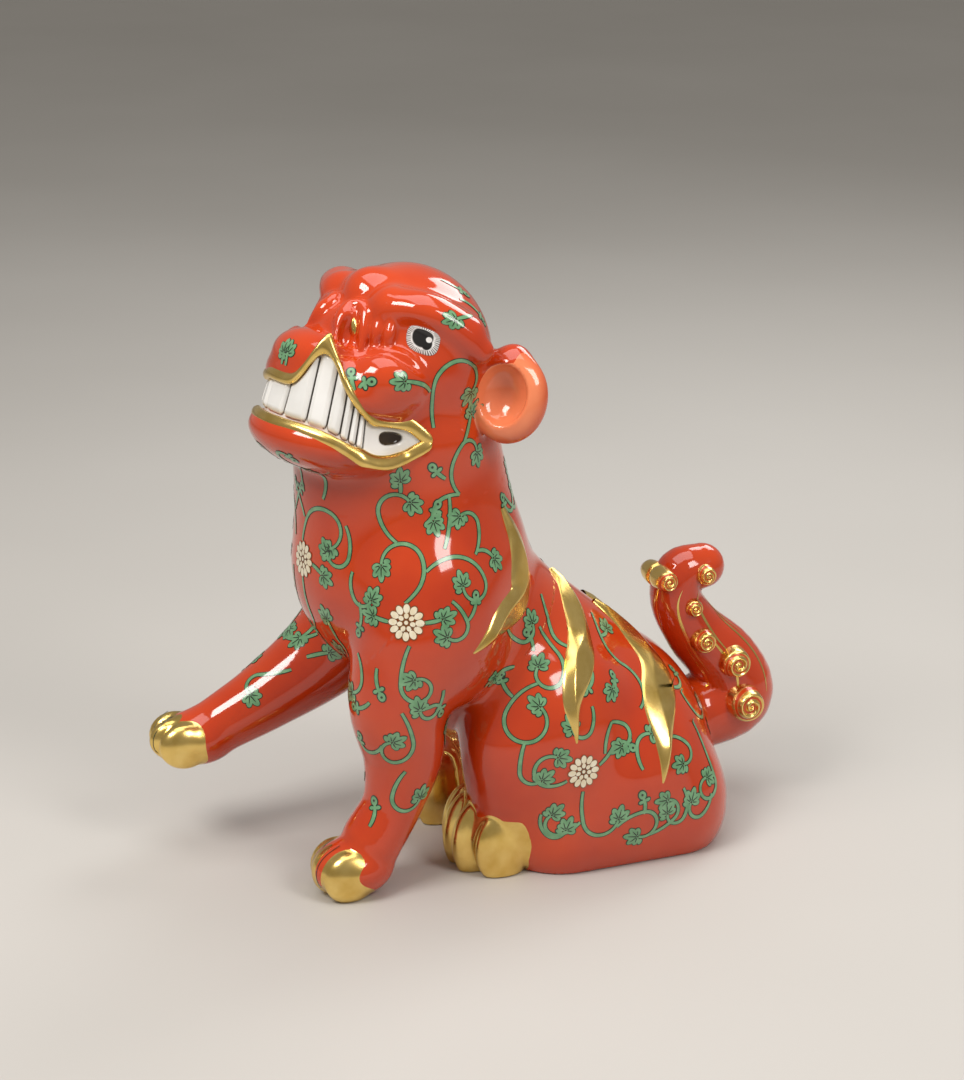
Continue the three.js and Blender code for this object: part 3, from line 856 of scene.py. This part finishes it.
def tooth_outline(angle, height, band):
    """Signed distance in millimetres to the nearest tooth's outline, along the arch and up the band."""
    scale = math.radians(1)*TOOTH_ARC
    best = np.full(angle.shape, 9.0)
    for left, right in zip(TOOTH_EDGES[:-1], TOOTH_EDGES[1:]):
        half = (right - left)/2*scale - 0.12
        rounding = min(1.5, half*0.8)
        across = np.abs(angle - (left + right)/2)*scale - half + rounding
        above = np.abs(height - band/2 - 0.5) - (band/2 - 0.2) + rounding
        outside = np.hypot(np.maximum(across, 0), np.maximum(above, 0))
        best = np.minimum(best, outside + np.minimum(np.maximum(across, above), 0) - rounding)
    return best


def build_teeth():
    along, up = np.linspace(-MOUTH_END, MOUTH_END, 1100), np.linspace(-0.05, 1.05, 44)
    angle, share = np.meshgrid(along, up, indexing="ij")
    band = upper_lip(angle) - lower_lip(angle)
    outline = tooth_outline(angle, share*band, band)
    in_teeth = np.abs(angle) < TOOTH_EDGES[-1] + 0.3
    relief = np.where(in_teeth, 1.3*np.sqrt(np.clip(-outline/1.6, 0, 1)), 0.75)
    middle, half = (BLACK_SLOT[0] + BLACK_SLOT[1])/2, (BLACK_SLOT[1] - BLACK_SLOT[0])/2
    slot = (np.abs((np.abs(angle) - middle)/half)**2.6 + np.abs((share - 0.55)/0.23)**2.6)**(1/2.6)
    relief -= 0.8*(1 - smooth_between(slot, 0.7, 1.1))
    line = (1 - smooth_between(np.abs(outline), 0.10, 0.22))*in_teeth
    ink = np.maximum(line*0.9, 1 - smooth_between(slot, 0.86, 0.98))
    flat = [v.ravel() for v in (angle, share)]
    points = MOUTH.at(*flat, (relief - SLOT_DEPTH + 0.45).ravel()).reshape(*angle.shape, 3)
    normals, faces = grid_skin(points, mouth_rays(angle)@HEAD_AXES.T)
    obj = mesh_object("teeth_row_glazed", points.reshape(-1, 3), faces, TEETH, normals.reshape(-1, 3),
                      {"ink": ink.ravel()})
    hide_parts("teeth_row")


def build_mouth():
    build_lip("upper_lip", True)
    build_lip("lower_lip", False)
    build_teeth()


# ------------------------------------------------------------------ eyes
EYE_HALF = (4.6, 4.3)    # half length and half height
EYE_DOME, EYE_SUNK = 1.5, 0.35


def build_eyes():
    """Domed almond eyes: white, ringed with painted lashes, with a teardrop pupil."""
    radius, turn = polar_grid(60, 1.5)
    for name, s in SIDES:
        centre = node_middle("eye_" + name)
        n, _ = normals_of(FACE, centre[None])
        n = unit(n[0] + HEAD_AXES@np.array([s*0.3, -0.1, 0.1]))
        forward = unit(np.cross(np.cross(n, HEAD_AXES@np.array([0, -1, 0.05])), n))
        up = np.cross(n, forward)*(-s)
        lens = 1 + 0.20*np.maximum(np.cos(turn - math.radians(228)), 0)**9
        x, y = radius*lens*np.cos(turn), radius*lens*np.sin(turn)
        place = centre + forward*(x*EYE_HALF[0])[..., None] + up*(y*EYE_HALF[1])[..., None]
        points = domed(FACE, place, n, radius, EYE_DOME, EYE_SUNK)
        pupil = np.hypot((x - 0.02)/0.60, (y - 0.04)/0.62) - 1
        tear = np.hypot((x + 0.28)/0.30, (y + 0.34)/0.36) - 1
        glint = np.hypot((x + 0.36)/0.17, (y + 0.06)/0.17) - 1
        dark = 1 - smooth_between(np.minimum(pupil, tear), -0.04, 0.10)
        dark *= smooth_between(glint, -0.1, 0.15)
        strokes = smooth_between(np.abs(np.sin(turn*24 + 0.5*np.sin(turn*5))), 0.72, 0.9)
        lashes = strokes*smooth_between(radius, 0.66 + 0.05*np.sin(turn*11), 0.74)
        rim = smooth_between(radius, 0.975, 0.99)
        ink = np.maximum.reduce([dark, lashes, rim])
        normals, faces = grid_skin(points, n, closed=True)
        normals[0] = n
        obj = mesh_object("eye_" + name + "_glazed", points.reshape(-1, 3), faces, EYE,
                          normals.reshape(-1, 3), {"ink": ink.ravel()})
        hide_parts("eye_" + name)


# ------------------------------------------------------------------ snail curls on the tail
CURL_WINDS = 2.6         # turns of the spiral
CURL_DOME = 0.86         # height of the dome, as a share of the CAD curl's width
CURL_RIDGE = 0.15        # height of the ridge, as a share of the radius
CURL_FOOT = 0.9          # how far the flat foot lies inside the tail, as a share of the radius


def build_curls():
    """Each curl is a low dome with a ridge that winds over it, closed by a flat foot inside the tail."""
    radius, turn = polar_grid(64, 5)
    for name, s in SIDES:
        for number in range(1, 7):
            node = f"tail_curl_{name}_{number}"
            low, high = node_box(node)
            size = (high[2] - low[2])/2
            centre = (low + high)/2
            centre[0] = low[0] if s > 0 else high[0]
            coil = radius*CURL_WINDS - turn/(2*math.pi)*(1 if number % 2 else -1)
            ridge = 0.5 + 0.5*np.cos(2*math.pi*coil)
            fade = smooth_between(radius, 0.0, 0.12)
            bulk = (high[0] - low[0])*CURL_DOME
            rise = bulk*(1 - radius**6) + size*CURL_RIDGE*ridge*fade*(1 - smooth_between(radius, 0.9, 1))
            x = centre[0] + s*rise
            y = centre[1] + size*radius*np.cos(turn)
            z = centre[2] + size*radius*np.sin(turn)
            points = np.stack([x, y, z], -1)
            foot = np.array([s*size*CURL_FOOT, 0, 0])
            rim, hub = points[-1] - foot, np.tile(centre - foot, (turn.shape[1], 1))
            points = np.concatenate([points, rim[None], hub[None]])
            normals, faces = grid_skin(points, (s, 0, 0), closed=True, rows=40)
            normals[0] = (s, 0, 0)
            normals[-1] = (-s, 0, 0)
            groove = np.pad((1 - smooth_between(ridge, 0.05, 0.30))*fade, ((0, 2), (0, 0)))
            obj = mesh_object(node + "_gilded", points.reshape(-1, 3), faces, CURL_GOLD,
                              normals.reshape(-1, 3), {"groove": groove.ravel()})
            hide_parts(node)


# ------------------------------------------------------------------ relief flames
# Each row is x, y, z and half width, from the root of a left flame to its tip.
FLAMES = (
    ((22, -3, 105, 1.0), (22.5, 0, 96, 3.0), (24, 2, 87, 4.4),
     (27, 0, 80, 4.6), (33, -8, 76, 3.4), (38, -18, 70.5, 0.3)),
    ((4, 20, 79, 1.4), (13, 21, 73, 3.2), (22, 21, 66, 3.6),
     (31, 16, 60, 3.7), (37, 12, 51, 2.2), (39.5, 12, 40.5, 0.3)),
    ((4, 33, 68, 1.4), (8, 41, 60, 3.8), (17, 45, 52, 4.6),
     (28, 42.5, 45, 4.7), (37, 40, 35, 2.4), (41, 38, 25, 0.3)),
)
FLAME_RISE = 1.7         # height of the crest above the glaze
FLAME_SUNK = 0.5         # depth of the flat underside below it
FLAME_SPREAD, FLAME_TEETH = 1.26, 0.15   # how much wider than the rows the edge runs, and how far it wavers


def build_flames():
    """Each flame is a relief with a wavering crest and a toothed edge, with a flat underside sheet below it;
    the two sheets are not joined at their edges.
    """
    share = np.linspace(-1, 1, 25)
    for name, s in SIDES:
        for number, places in enumerate(FLAMES, 1):
            rows = spline(np.array(places)*(s, 1, 1, 1), 90)
            path = settle(FIGURE_CLAY, rows[:, :3], 4)
            n, _ = normals_of(FIGURE_CLAY, path)
            along = unit(np.gradient(path, axis=0))
            side = unit(np.cross(along, n))*s
            t = np.linspace(0, 1, len(path))[:, None]
            waver = 0.30*np.sin(t*9.5 + number)
            width = rows[:, 3:4]*(FLAME_SPREAD + FLAME_TEETH*np.sin(t*13 + share*2 + number))
            flat = path[:, None] + side[:, None]*(width*share)[..., None]
            base = settle(FIGURE_CLAY, flat.reshape(-1, 3), 2)
            lift, _ = normals_of(FIGURE_CLAY, base)
            crest = np.where(share < waver, (share + 1)/(waver + 1), (1 - share)/(1 - waver))
            rise = FLAME_RISE*np.minimum(rows[:, 3:4]/2.2, 1)*np.clip(crest, 0, 1)**0.62 - 0.12
            base, lift = base.reshape(flat.shape), lift.reshape(flat.shape)
            top = base + lift*rise[..., None]
            bottom = base - lift*FLAME_SUNK
            normals, faces = grid_skin(top, lift)
            points = np.vstack([top.reshape(-1, 3), bottom.reshape(-1, 3)])
            faces = np.vstack([faces, faces[:, ::-1] + top.size//3])
            node = f"flame_{name}_{number}"
            obj = mesh_object(node + "_gilded", points, faces, GOLD,
                              np.vstack([normals.reshape(-1, 3), -normals.reshape(-1, 3)]))
            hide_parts(node)


# ------------------------------------------------------------------ painted vines
# A vine is: start, heading (degrees clockwise from up, seen from outside), arcs of (length in mm, turn in
# degrees), and the motif at its tip. Those of the body are mirrored on the far side; those of the head are
# mirrored in the head's frame.
BODY_VINES = (
    ((35, -36, 86), 50, ((5, -15), (10, -60), (15, -150)), "leaf"),
    ((29, -36, 101), -60, ((10, 50), (12, 150)), "leaf"),
    ((35, -30, 94), 45, ((8, 30), (14, 80), (13, 190)), "leaf"),
    ((33, -24, 99), 32, ((15, -38),), "none"),
    ((28, -18, 112), -75, ((5, -30), (7, -80)), "leaf"),
    ((28, -18, 112), -45, ((6, 40), (9, 55), (8, 125)), "leaf"),
    ((32, -15, 96), 50, ((9, -50), (7, -110)), "leaf"),
    ((32, -14, 97), 80, ((6, 70),), "leaf"),
    ((3, -54, 96), 5, ((8, 25), (12, 80), (12, 130)), "leaf"),
    ((4, -54, 103), -30, ((10, -15),), "bud"),
    ((9, -54, 91), 100, ((5, 20),), "leaf"),
    ((4, -54, 87), 180, ((12, -10), (9, 90)), "bud"),
    ((34, -40, 81), -90, ((5, 15),), "leaf"),
    ((38, -32, 81), 90, ((5, -15),), "leaf"),
    ((14, -50, 69), -12, ((6, 0),), "leaf"),
    ((14, -50, 69), 150, ((14, -20),), "leaf"),
    ((25, -47, 70), 130, ((8, 40), (6, 90)), "leaf"),
    ((20, 10, 78), 192, ((11, -12), (7, -60), (6, -110)), "leaf"),
    ((24, 7, 70), 160, ((9, 10), (9, 60), (12, 180)), "leaf"),
    ((31, -2, 62), -85, ((6, -20),), "leaf"),
    ((33, 3, 57), 255, ((12, -45), (14, -130), (11, -115)), "leaf"),
    ((34, -5, 55), -60, ((6, 40),), "bud"),
    ((14, 29, 69), 222, ((11, -20), (8, -60), (9, 70), (7, 50)), "none"),
    ((20, 29, 64), 120, ((5, -60),), "leaf"),
    ((28, 27, 54), 215, ((5, 30),), "leaf"),
    ((37, 24, 44), 225, ((9, -40),), "none"),
    ((37, 24, 44), 95, ((5, 30), (8, 140)), "leaf"),
    ((40, 9, 30), 240, ((6, 40), (15, 190)), "leaf"),
    ((40, 14, 26), 190, ((10, -20), (14, -150)), "leaf"),
    ((41, 13, 17), 225, ((7, 30), (9, 160)), "leaf"),
    ((41, 24, 14), 45, ((9, 40), (14, 200)), "leaf"),
    ((40, 32, 17), 20, ((5, -40),), "bud"),
    ((40, 19, 33), 60, ((6, -20), (6, 100)), "bud"),
    ((34, 58, 42), 178, ((18, 10), (7, 80), (10, 190)), "leaf"),
    ((27, 57, 50), 200, ((8, -40), (11, -120)), "leaf"),
    ((40, 45, 22), 150, ((9, 60), (8, 150)), "leaf"),
    ((40, 34, 10), 80, ((9, -30), (8, -130)), "leaf"),
    ((36, -2, 42), 200, ((9, -20), (8, -120)), "leaf"),
    ((37, 22, 62), 190, ((6, 60),), "bud"),
    ((8, -3, 122), 120, ((10, 40), (10, 150)), "leaf"),
    ((6, 8, 98), 190, ((12, -40), (8, -120)), "leaf"),
    ((20, -48, 104), 150, ((9, 40), (10, 150)), "leaf"),
    ((22, -46, 92), 200, ((8, -50), (7, -120)), "leaf"),
    ((24, -44, 84), 150, ((8, 50),), "bud"),
    ((31, -28, 106), 60, ((5, -40),), "bud"),
    ((38, -24, 86), 130, ((8, 30), (9, 150)), "leaf"),
    ((37, -20, 80), 60, ((6, -50),), "bud"),
    ((27, -8, 74), 150, ((9, -30), (8, -130)), "leaf"),
    ((30, 4, 66), 20, ((5, -60),), "bud"),
    ((38, 18, 50), 170, ((7, 40), (8, 140)), "leaf"),
    ((39, 28, 52), 60, ((6, -50),), "bud"),
    ((41, 32, 30), -30, ((7, 40), (6, 90)), "leaf"),
    ((41, 44, 40), 100, ((8, 40), (8, 140)), "leaf"),
    ((39, 2, 20), 200, ((7, -60), (6, -110)), "leaf"),
    ((38, 55, 18), 200, ((7, 40), (8, 150)), "leaf"),
    ((30, 52, 56), 150, ((7, -60), (6, -90)), "bud"),
    ((3, -50, 70), 190, ((8, -30), (9, -150)), "leaf"),
    ((20, -2, 108), 150, ((8, -30), (8, -140)), "leaf"),
    ((12, 4, 110), 200, ((9, 40), (8, 120)), "bud"),
    ((14, 66, 40), 150, ((7, 30), (7, 120)), "leaf"),
    ((10, 64, 24), 250, ((10, -60), (10, -170)), "leaf"),
)
PLANTED_LEG_VINES = (
    ((38, -36, 75), 205, ((12, -25), (8, -90), (11, -190)), "leaf"),
    ((37, -38, 56), 150, ((10, 20), (9, 90), (10, 170)), "leaf"),
    ((35, -35, 57), 100, ((6, -20), (4, 90)), "bud"),
    ((34, -36, 38), 220, ((9, -30), (12, -170)), "leaf"),
    ((31, -44, 58), 215, ((6, 50),), "bud"),
    ((22, -45, 34), 200, ((8, 60),), "bud"),
    ((22, -20, 50), 180, ((10, 60), (8, 150)), "leaf"),
    ((35, -27, 62), 170, ((7, 40), (7, 140)), "leaf"),
    ((33, -44, 68), 190, ((7, -40),), "bud"),
    ((33, -42, 46), 200, ((6, 60), (5, 100)), "bud"),
    ((31, -46, 22), 30, ((6, -40),), "bud"),
)
RAISED_LEG_VINES = (
    ((-14, -46, 62), 235, ((8, 20), (8, 60)), "leaf"),
    ((-15, -52, 52), 250, ((10, 20), (8, -130)), "leaf"),
    ((-17, -46, 54), 70, ((6, 10),), "leaf"),
    ((-33, -38, 62), 150, ((14, -20), (10, 150)), "leaf"),
    ((-34, -52, 48), 120, ((9, -40), (8, -130)), "leaf"),
    ((-24, -46, 60), 200, ((8, 60), (7, 130)), "leaf"),
)
HEAD_VINES = (
    ((28, -25, 131), -5, ((10, 5), (12, 85), (13, 150)), "leaf"),
    ((29, -26, 141), -35, ((5, -30), (5, -10)), "leaf"),
    ((26, -17, 126), 40, ((8, -10),), "leaf"),
    ((29, -22, 117), -60, ((4, 20),), "bud"),
    ((27, -12, 162), -80, ((6, 15),), "leaf"),
    ((20, -10, 168), 130, ((9, 30),), "bud"),
    ((11, -59, 147), 0, ((3, 0),), "leaf"),
    ((24, -45, 142), -25, ((4, 20),), "bud"),
    ((24, -44, 142), 20, ((3, 60),), "bud"),
    ((27, -34, 114), 0, ((3, 0),), "leaf"),
    ((15, -58, 120), -60, ((6, 50), (8, 160)), "bud"),
    ((13, -52, 110), 30, ((8, -40), (3, 0)), "leaf"),
    ((12, -16, 168), 160, ((7, -20),), "bud"),
    ((6, 0, 158), 200, ((12, -60), (8, -160)), "leaf"),
    ((14, 2, 140), 170, ((10, 60), (8, 150)), "leaf"),
)
# Place and radius of each flower
FLOWERS = ((36, -36, 81, 5.0), (4, -54, 91, 5.0), (40, 14, 32, 4.8))
STEP = 0.7                          # millimetres walked along a vine at a time
STEM, STEM_OUTLINE = 0.50, 0.72     # half widths of the brushed line and its dark edge
# Angle from the stem's direction and length of each lobe of a leaf
LEAF_LOBES = ((-84, 2.5), (-46, 3.3), (-6, 4.0), (34, 3.4), (72, 2.5))


def tangents(normals, heading):
    """Directions on the surface at a heading clockwise from up."""
    up = unit(np.array([0, 0, 1.0]) - normals*normals[:, 2:3])
    right = np.cross(up, normals)
    heading = np.radians(heading)[:, None]
    return np.cos(heading)*up + np.sin(heading)*right


def all_vines():
    mirror = np.array([-1, 1, 1])
    for start, heading, arcs, motif in BODY_VINES:
        turned = tuple((length, -turn) for length, turn in arcs)
        yield np.array(start, float), heading, arcs, motif
        yield np.array(start)*mirror, -heading, turned, motif
    for start, heading, arcs, motif in PLANTED_LEG_VINES + RAISED_LEG_VINES:
        yield np.array(start, float), heading, arcs, motif
    for start, heading, arcs, motif in HEAD_VINES:
        turned = tuple((length, -turn) for length, turn in arcs)
        yield np.array(start, float), heading, arcs, motif
        yield from_head(to_head(np.array(start, float))*mirror), -heading, turned, motif


def arc_turns(arcs):
    """The turn in radians at each step along a vine's arcs."""
    parts = []
    for length, turn in arcs:
        count = max(1, round(length/STEP))
        parts.append(np.full(count, math.radians(turn)/count))
    return np.concatenate(parts)


def walk_vines(vines):
    """Walks every vine over the glaze at once; gives each one's points, normals and final direction."""
    p = settle(FIGURE_CLAY, [vine[0] for vine in vines], 5)
    n, _ = normals_of(FIGURE_CLAY, p)
    d = tangents(n, np.array([vine[1] for vine in vines], float))
    turns = [arc_turns(vine[2]) for vine in vines]
    paths = [[] for _ in vines]
    for i in range(max(len(t) for t in turns) + 1):
        for k, path in enumerate(paths):
            if i <= len(turns[k]):
                path.append((p[k], n[k], d[k]))
        turn = np.array([t[i] if i < len(t) else 0.0 for t in turns])[:, None]
        d = np.cos(turn)*d + np.sin(turn)*np.cross(d, n)
        p = settle(FIGURE_CLAY, p + d*STEP, 1)
        n, _ = normals_of(FIGURE_CLAY, p)
        d = unit(d - n*(d*n).sum(1, keepdims=True))
    return [tuple(np.array(v) for v in zip(*path)) for path in paths]


class Paint:
    """Flat strokes collected as one mesh, laid on the glaze at a given lift."""

    def __init__(self, name, material, lift):
        self.name, self.material, self.lift = name, material, lift
        self.points, self.quads, self.tris, self.count = [], [], [], 0

    def ribbon(self, points, side, half):
        """A stroke along points; half is its half width at each."""
        rows = np.stack([points - side*half[:, None], points, points + side*half[:, None]], 1)
        self.quads.append(grid_faces(*rows.shape[:2]) + self.count)
        self.take(rows.reshape(-1, 3))

    def patch(self, outline):
        """A filled outline round its own middle."""
        m = len(outline)
        ring = np.arange(m)
        self.tris.append(np.column_stack([np.full(m, m), ring, (ring + 1) % m]) + self.count)
        self.take(np.vstack([outline, outline.mean(0)]))

    def take(self, points):
        self.points.append(points)
        self.count += len(points)

    def finish(self):
        points = settle(FIGURE_CLAY, np.vstack(self.points), 2)
        normals, _ = normals_of(FIGURE_CLAY, points)
        tris = [triangles_of(np.vstack(self.quads))] if self.quads else []
        tris = np.vstack(tris + self.tris)
        a, b, c = (points[tris[:, k]] for k in range(3))
        wrong = (np.cross(b - a, c - a)*normals[tris[:, 0]]).sum(1) < 0
        tris[wrong] = tris[wrong][:, ::-1]
        return mesh_object(self.name, points + normals*self.lift, tris, self.material, normals)


def oval(centre, along, across, half_length, half_width, count=12):
    turn = np.radians(np.arange(count)*360/count)
    return centre + along*(half_length*np.cos(turn))[:, None] + across*(half_width*np.sin(turn))[:, None]


def paint_leaf(outline, fill, vein, p, d, n):
    """A palmette: lobes fanned from the tip of a stem, each with a dark vein."""
    side = np.cross(d, n)
    for angle, length in LEAF_LOBES:
        a = math.radians(angle)
        along = math.cos(a)*d + math.sin(a)*side
        across = np.cross(along, n)
        centre = p + along*length*0.60 + d*0.3
        outline.patch(oval(centre, along, across, length*0.52 + 0.24, 1.16))
        fill.patch(oval(centre, along, across, length*0.52, 0.94))
        line = p + along*np.linspace(0.5, length*0.75, 4)[:, None] + d*0.3
        vein.ribbon(line, np.tile(across, (4, 1)), np.array([0.16, 0.14, 0.12, 0.05]))
    hook = p - d*0.9 - side*1.5
    outline.patch(oval(hook, d, side, 0.95, 1.25))
    fill.patch(oval(hook, d, side, 0.65, 0.95))


def paint_bud(outline, fill, vein, p, d, n):
    side = np.cross(d, n)
    outline.patch(oval(p + d*1.0, d, side, 1.65, 1.45))
    fill.patch(oval(p + d*1.0, d, side, 1.30, 1.10))
    for s in (1, -1):
        centre = p - d*0.9 + side*s*1.0
        outline.patch(oval(centre, d, side, 0.85, 1.1))
        fill.patch(oval(centre, d, side, 0.52, 0.78))
    vein.patch(oval(p + d*1.1, d, side, 0.35, 0.35))


def paint_flower(outline, cream, x, y, z, radius):
    """A rosette of two rings of petals round a dotted middle."""
    p = settle(FIGURE_CLAY, [(x, y, z)], 5)
    n, _ = normals_of(FIGURE_CLAY, p)
    d = tangents(n, np.zeros(1))[0]
    p, n = p[0], n[0]
    side = np.cross(d, n)
    for count, reach, length, width in ((12, 0.74, 0.27, 0.20), (7, 0.36, 0.17, 0.15), (1, 0, 0.13, 0.13)):
        for k in range(count):
            a = 2*math.pi*k/count
            along = math.cos(a)*d + math.sin(a)*side
            across = np.cross(along, n)
            centre = p + along*radius*reach
            outline.patch(oval(centre, along, across, radius*length + 0.17, radius*width + 0.15))
            cream.patch(oval(centre, along, across, radius*length - 0.10, radius*width - 0.12))


TAIL_STROKES, TAIL_STROKE = 14, 0.42     # how many gilt strokes, and their half width


def paint_tail(gilt):
    """Thin gilt strokes that run with the tail's hair."""
    rows = spline(TAIL_ROWS[1:-1], 60)
    for k in range(TAIL_STROKES):
        around = math.radians(k*360/TAIL_STROKES + 8)
        start, stop = (3, 34) if k % 2 else (20, 54)
        part = rows[start:stop]
        along = unit(np.gradient(part[:, :3], axis=0))
        across = np.array([1.0, 0, 0])
        third = np.cross(along, across)
        lean = around + np.linspace(0, 0.5, len(part))
        points = part[:, :3] + (across*np.cos(lean)[:, None] + third*np.sin(lean)[:, None])*part[:, 3:4]
        side = unit(-across*np.sin(lean)[:, None] + third*np.cos(lean)[:, None])
        gilt.ribbon(points, side, TAIL_STROKE*np.sin(np.linspace(0.15, math.pi - 0.1, len(part))))


TOE_LINE_REACH = (9.5, 11.0)     # how far a line between two toes arches forward and up
TOE_LINE = 0.17                  # its half width


def paint_toe_lines(ink):
    """Dark lines between the toes of the forepaws."""
    turn = np.radians(np.linspace(-25, 72, 22))[:, None]
    forward, up = TOE_LINE_REACH
    arc = np.column_stack([np.zeros_like(turn), -forward*np.cos(turn), up*np.sin(turn)])
    side = np.tile([1.0, 0, 0], (len(arc), 1))
    for name in ("forepaw_left", "forepaw_right"):
        centres = np.array([form.centre for form in TOES[name]])
        for a, b in zip(centres[:-1], centres[1:]):
            points = (a + b)/2 + arc
            points[:, 2] = np.maximum(points[:, 2], 0.8)
            ink.ribbon(points, side, np.full(len(points), TOE_LINE))


NOSTRIL_PLACE = (8.2, -22.6, 11.6)    # of the left one, in the head's frame
NOSTRIL_HALF = (2.5, 1.25)            # half height and half width of its gilt
NOSTRIL_DOME, NOSTRIL_SUNK = 1.1, 0.3


def build_nostril_gilt():
    """A domed gilt teardrop inside each nostril."""
    radius, turn = polar_grid(24, 10)
    for name, s in SIDES:
        centre = settle(FIGURE_CLAY, from_head([np.array(NOSTRIL_PLACE)*(s, 1, 1)]), 4)
        n, _ = normals_of(FIGURE_CLAY, centre)
        up = tangents(n, np.zeros(1))[0]
        n = n[0]
        x = radius*np.cos(turn)
        y = radius*np.sin(turn)*(1 - 0.35*x)
        across = np.cross(up, n)
        place = centre[0] + up*(x*NOSTRIL_HALF[0])[..., None] + across*(y*NOSTRIL_HALF[1])[..., None]
        points = domed(FIGURE_CLAY, place, n, radius, NOSTRIL_DOME, NOSTRIL_SUNK)
        sunk = points[-1] - n*NOSTRIL_SUNK*2
        points = np.concatenate([points, sunk[None], np.tile(sunk.mean(0), (len(sunk), 1))[None]])
        normals, faces = grid_skin(points, n, closed=True, rows=20)
        normals[0], normals[-1] = n, -n
        obj = mesh_object(f"nostril_{name}_gilt", points.reshape(-1, 3), faces, GOLD, normals.reshape(-1, 3))


MIDLINE = 10.0    # a flower nearer the middle than this is not mirrored


def build_painting():
    outline = Paint("painted_outlines", OUTLINE, PAINT_LIFT)
    fill = Paint("painted_vines", LEAF, PAINT_LIFT*2)
    vein = Paint("painted_veins", OUTLINE, PAINT_LIFT*3)
    cream = Paint("painted_petals", CREAM, PAINT_LIFT*3)
    brown = Paint("painted_flower_outlines", BROWN, PAINT_LIFT*2.4)
    gilt = Paint("gilt_strokes", GOLD, PAINT_LIFT)
    ink = Paint("painted_toe_lines", OUTLINE, PAINT_LIFT)
    motifs = {"leaf": paint_leaf, "bud": paint_bud}
    vines = list(all_vines())
    for (points, normals, directions), vine in zip(walk_vines(vines), vines):
        side = np.cross(directions, normals)
        taper = 0.55 + 0.45*np.sin(np.linspace(0.4, math.pi - 0.4, len(points)))
        outline.ribbon(points, side, STEM_OUTLINE*taper**0.6)
        fill.ribbon(points, side, STEM*taper)
        if vine[3] in motifs:
            motifs[vine[3]](outline, fill, vein, points[-1], directions[-1], normals[-1])
    for x, y, z, radius in FLOWERS:
        for s in (1,) if abs(x) < MIDLINE else (1, -1):
            paint_flower(brown, cream, s*x, y, z, radius)
    paint_tail(gilt)
    paint_toe_lines(ink)
    for paint in (outline, fill, vein, cream, brown, ink):
        paint.finish()
    gilt.finish()


# ------------------------------------------------------------------ stage
def area_light(name, place, target, size, power, colour=(1, 1, 1)):
    light = bpy.data.lights.new(name, "AREA")
    light.shape = "RECTANGLE"
    light.size, light.size_y = size
    light.energy = power
    light.color = colour
    obj = bpy.data.objects.new(name, light)
    bpy.context.scene.collection.objects.link(obj)
    place, target = np.array(place), np.array(target)
    obj.location = place
    aim(obj, place, target)


def aim(obj, place, target):
    obj.rotation_euler = Vector(target - place).to_track_quat("-Z", "Y").to_euler()


CAMERA_AZIMUTH, CAMERA_ELEVATION = 68.0, 18.0
CAMERA_DISTANCE = 0.728
CAMERA_LENS = 86.67


def orbit(azimuth, elevation, distance, target):
    a, e = math.radians(azimuth), math.radians(elevation)
    back = np.array([math.sin(a)*math.cos(e), -math.cos(a)*math.cos(e), math.sin(e)])
    return np.array(target) + distance*back


def build_stage():
    low, high = (np.array(corner) for corner in CAD_BOX)
    target = np.array([0, 0, (low[2] + high[2])/2 + 0.004])
    camera = bpy.data.cameras.new("camera")
    camera.lens = CAMERA_LENS
    camera.sensor_width = 36.0
    obj = bpy.data.objects.new("camera", camera)
    bpy.context.scene.collection.objects.link(obj)
    place = orbit(CAMERA_AZIMUTH, CAMERA_ELEVATION, CAMERA_DISTANCE, target)
    obj.location = place
    aim(obj, place, target)
    bpy.context.scene.camera = obj
    area_light("key", orbit(20, 48, 0.75, target), target, (0.30, 0.24), 3.4, (1.0, 0.97, 0.94))
    area_light("fill", orbit(115, 38, 0.8, target), target, (0.26, 0.32), 2.6, (1.0, 0.96, 0.93))
    area_light("top", (0.02, 0.0, 0.95), target, (0.7, 0.7), 3.6)
    area_light("back", orbit(215, 40, 0.8, target), target, (0.35, 0.35), 2.0)
    world = bpy.data.worlds.new("studio")
    world.use_nodes = True
    world.node_tree.nodes["Background"].inputs["Color"].default_value = (0.84, 0.80, 0.74, 1)
    world.node_tree.nodes["Background"].inputs["Strength"].default_value = 0.38
    bpy.context.scene.world = world
    bpy.context.scene.view_settings.view_transform = "Standard"
    floor = bpy.data.meshes.new("floor")
    r = 3.0
    floor.from_pydata([(-r, -r, 0), (r, -r, 0), (r, r, 0), (-r, r, 0)], [], [(0, 1, 2, 3)])
    floor_obj = bpy.data.objects.new("floor", floor)
    bpy.context.scene.collection.objects.link(floor_obj)
    m, tree, shader = material("floor")
    colour, _ = mottled(tree, 3.0, (0.48, 0.46, 0.43), (0.52, 0.50, 0.47))
    tree.links.new(colour, shader.inputs["Base Color"])
    shader.inputs["Roughness"].default_value = 0.6
    floor.materials.append(m)


build_figure()
build_mouth()
build_eyes()
build_nostril_gilt()
build_curls()
build_flames()
build_painting()
build_stage()
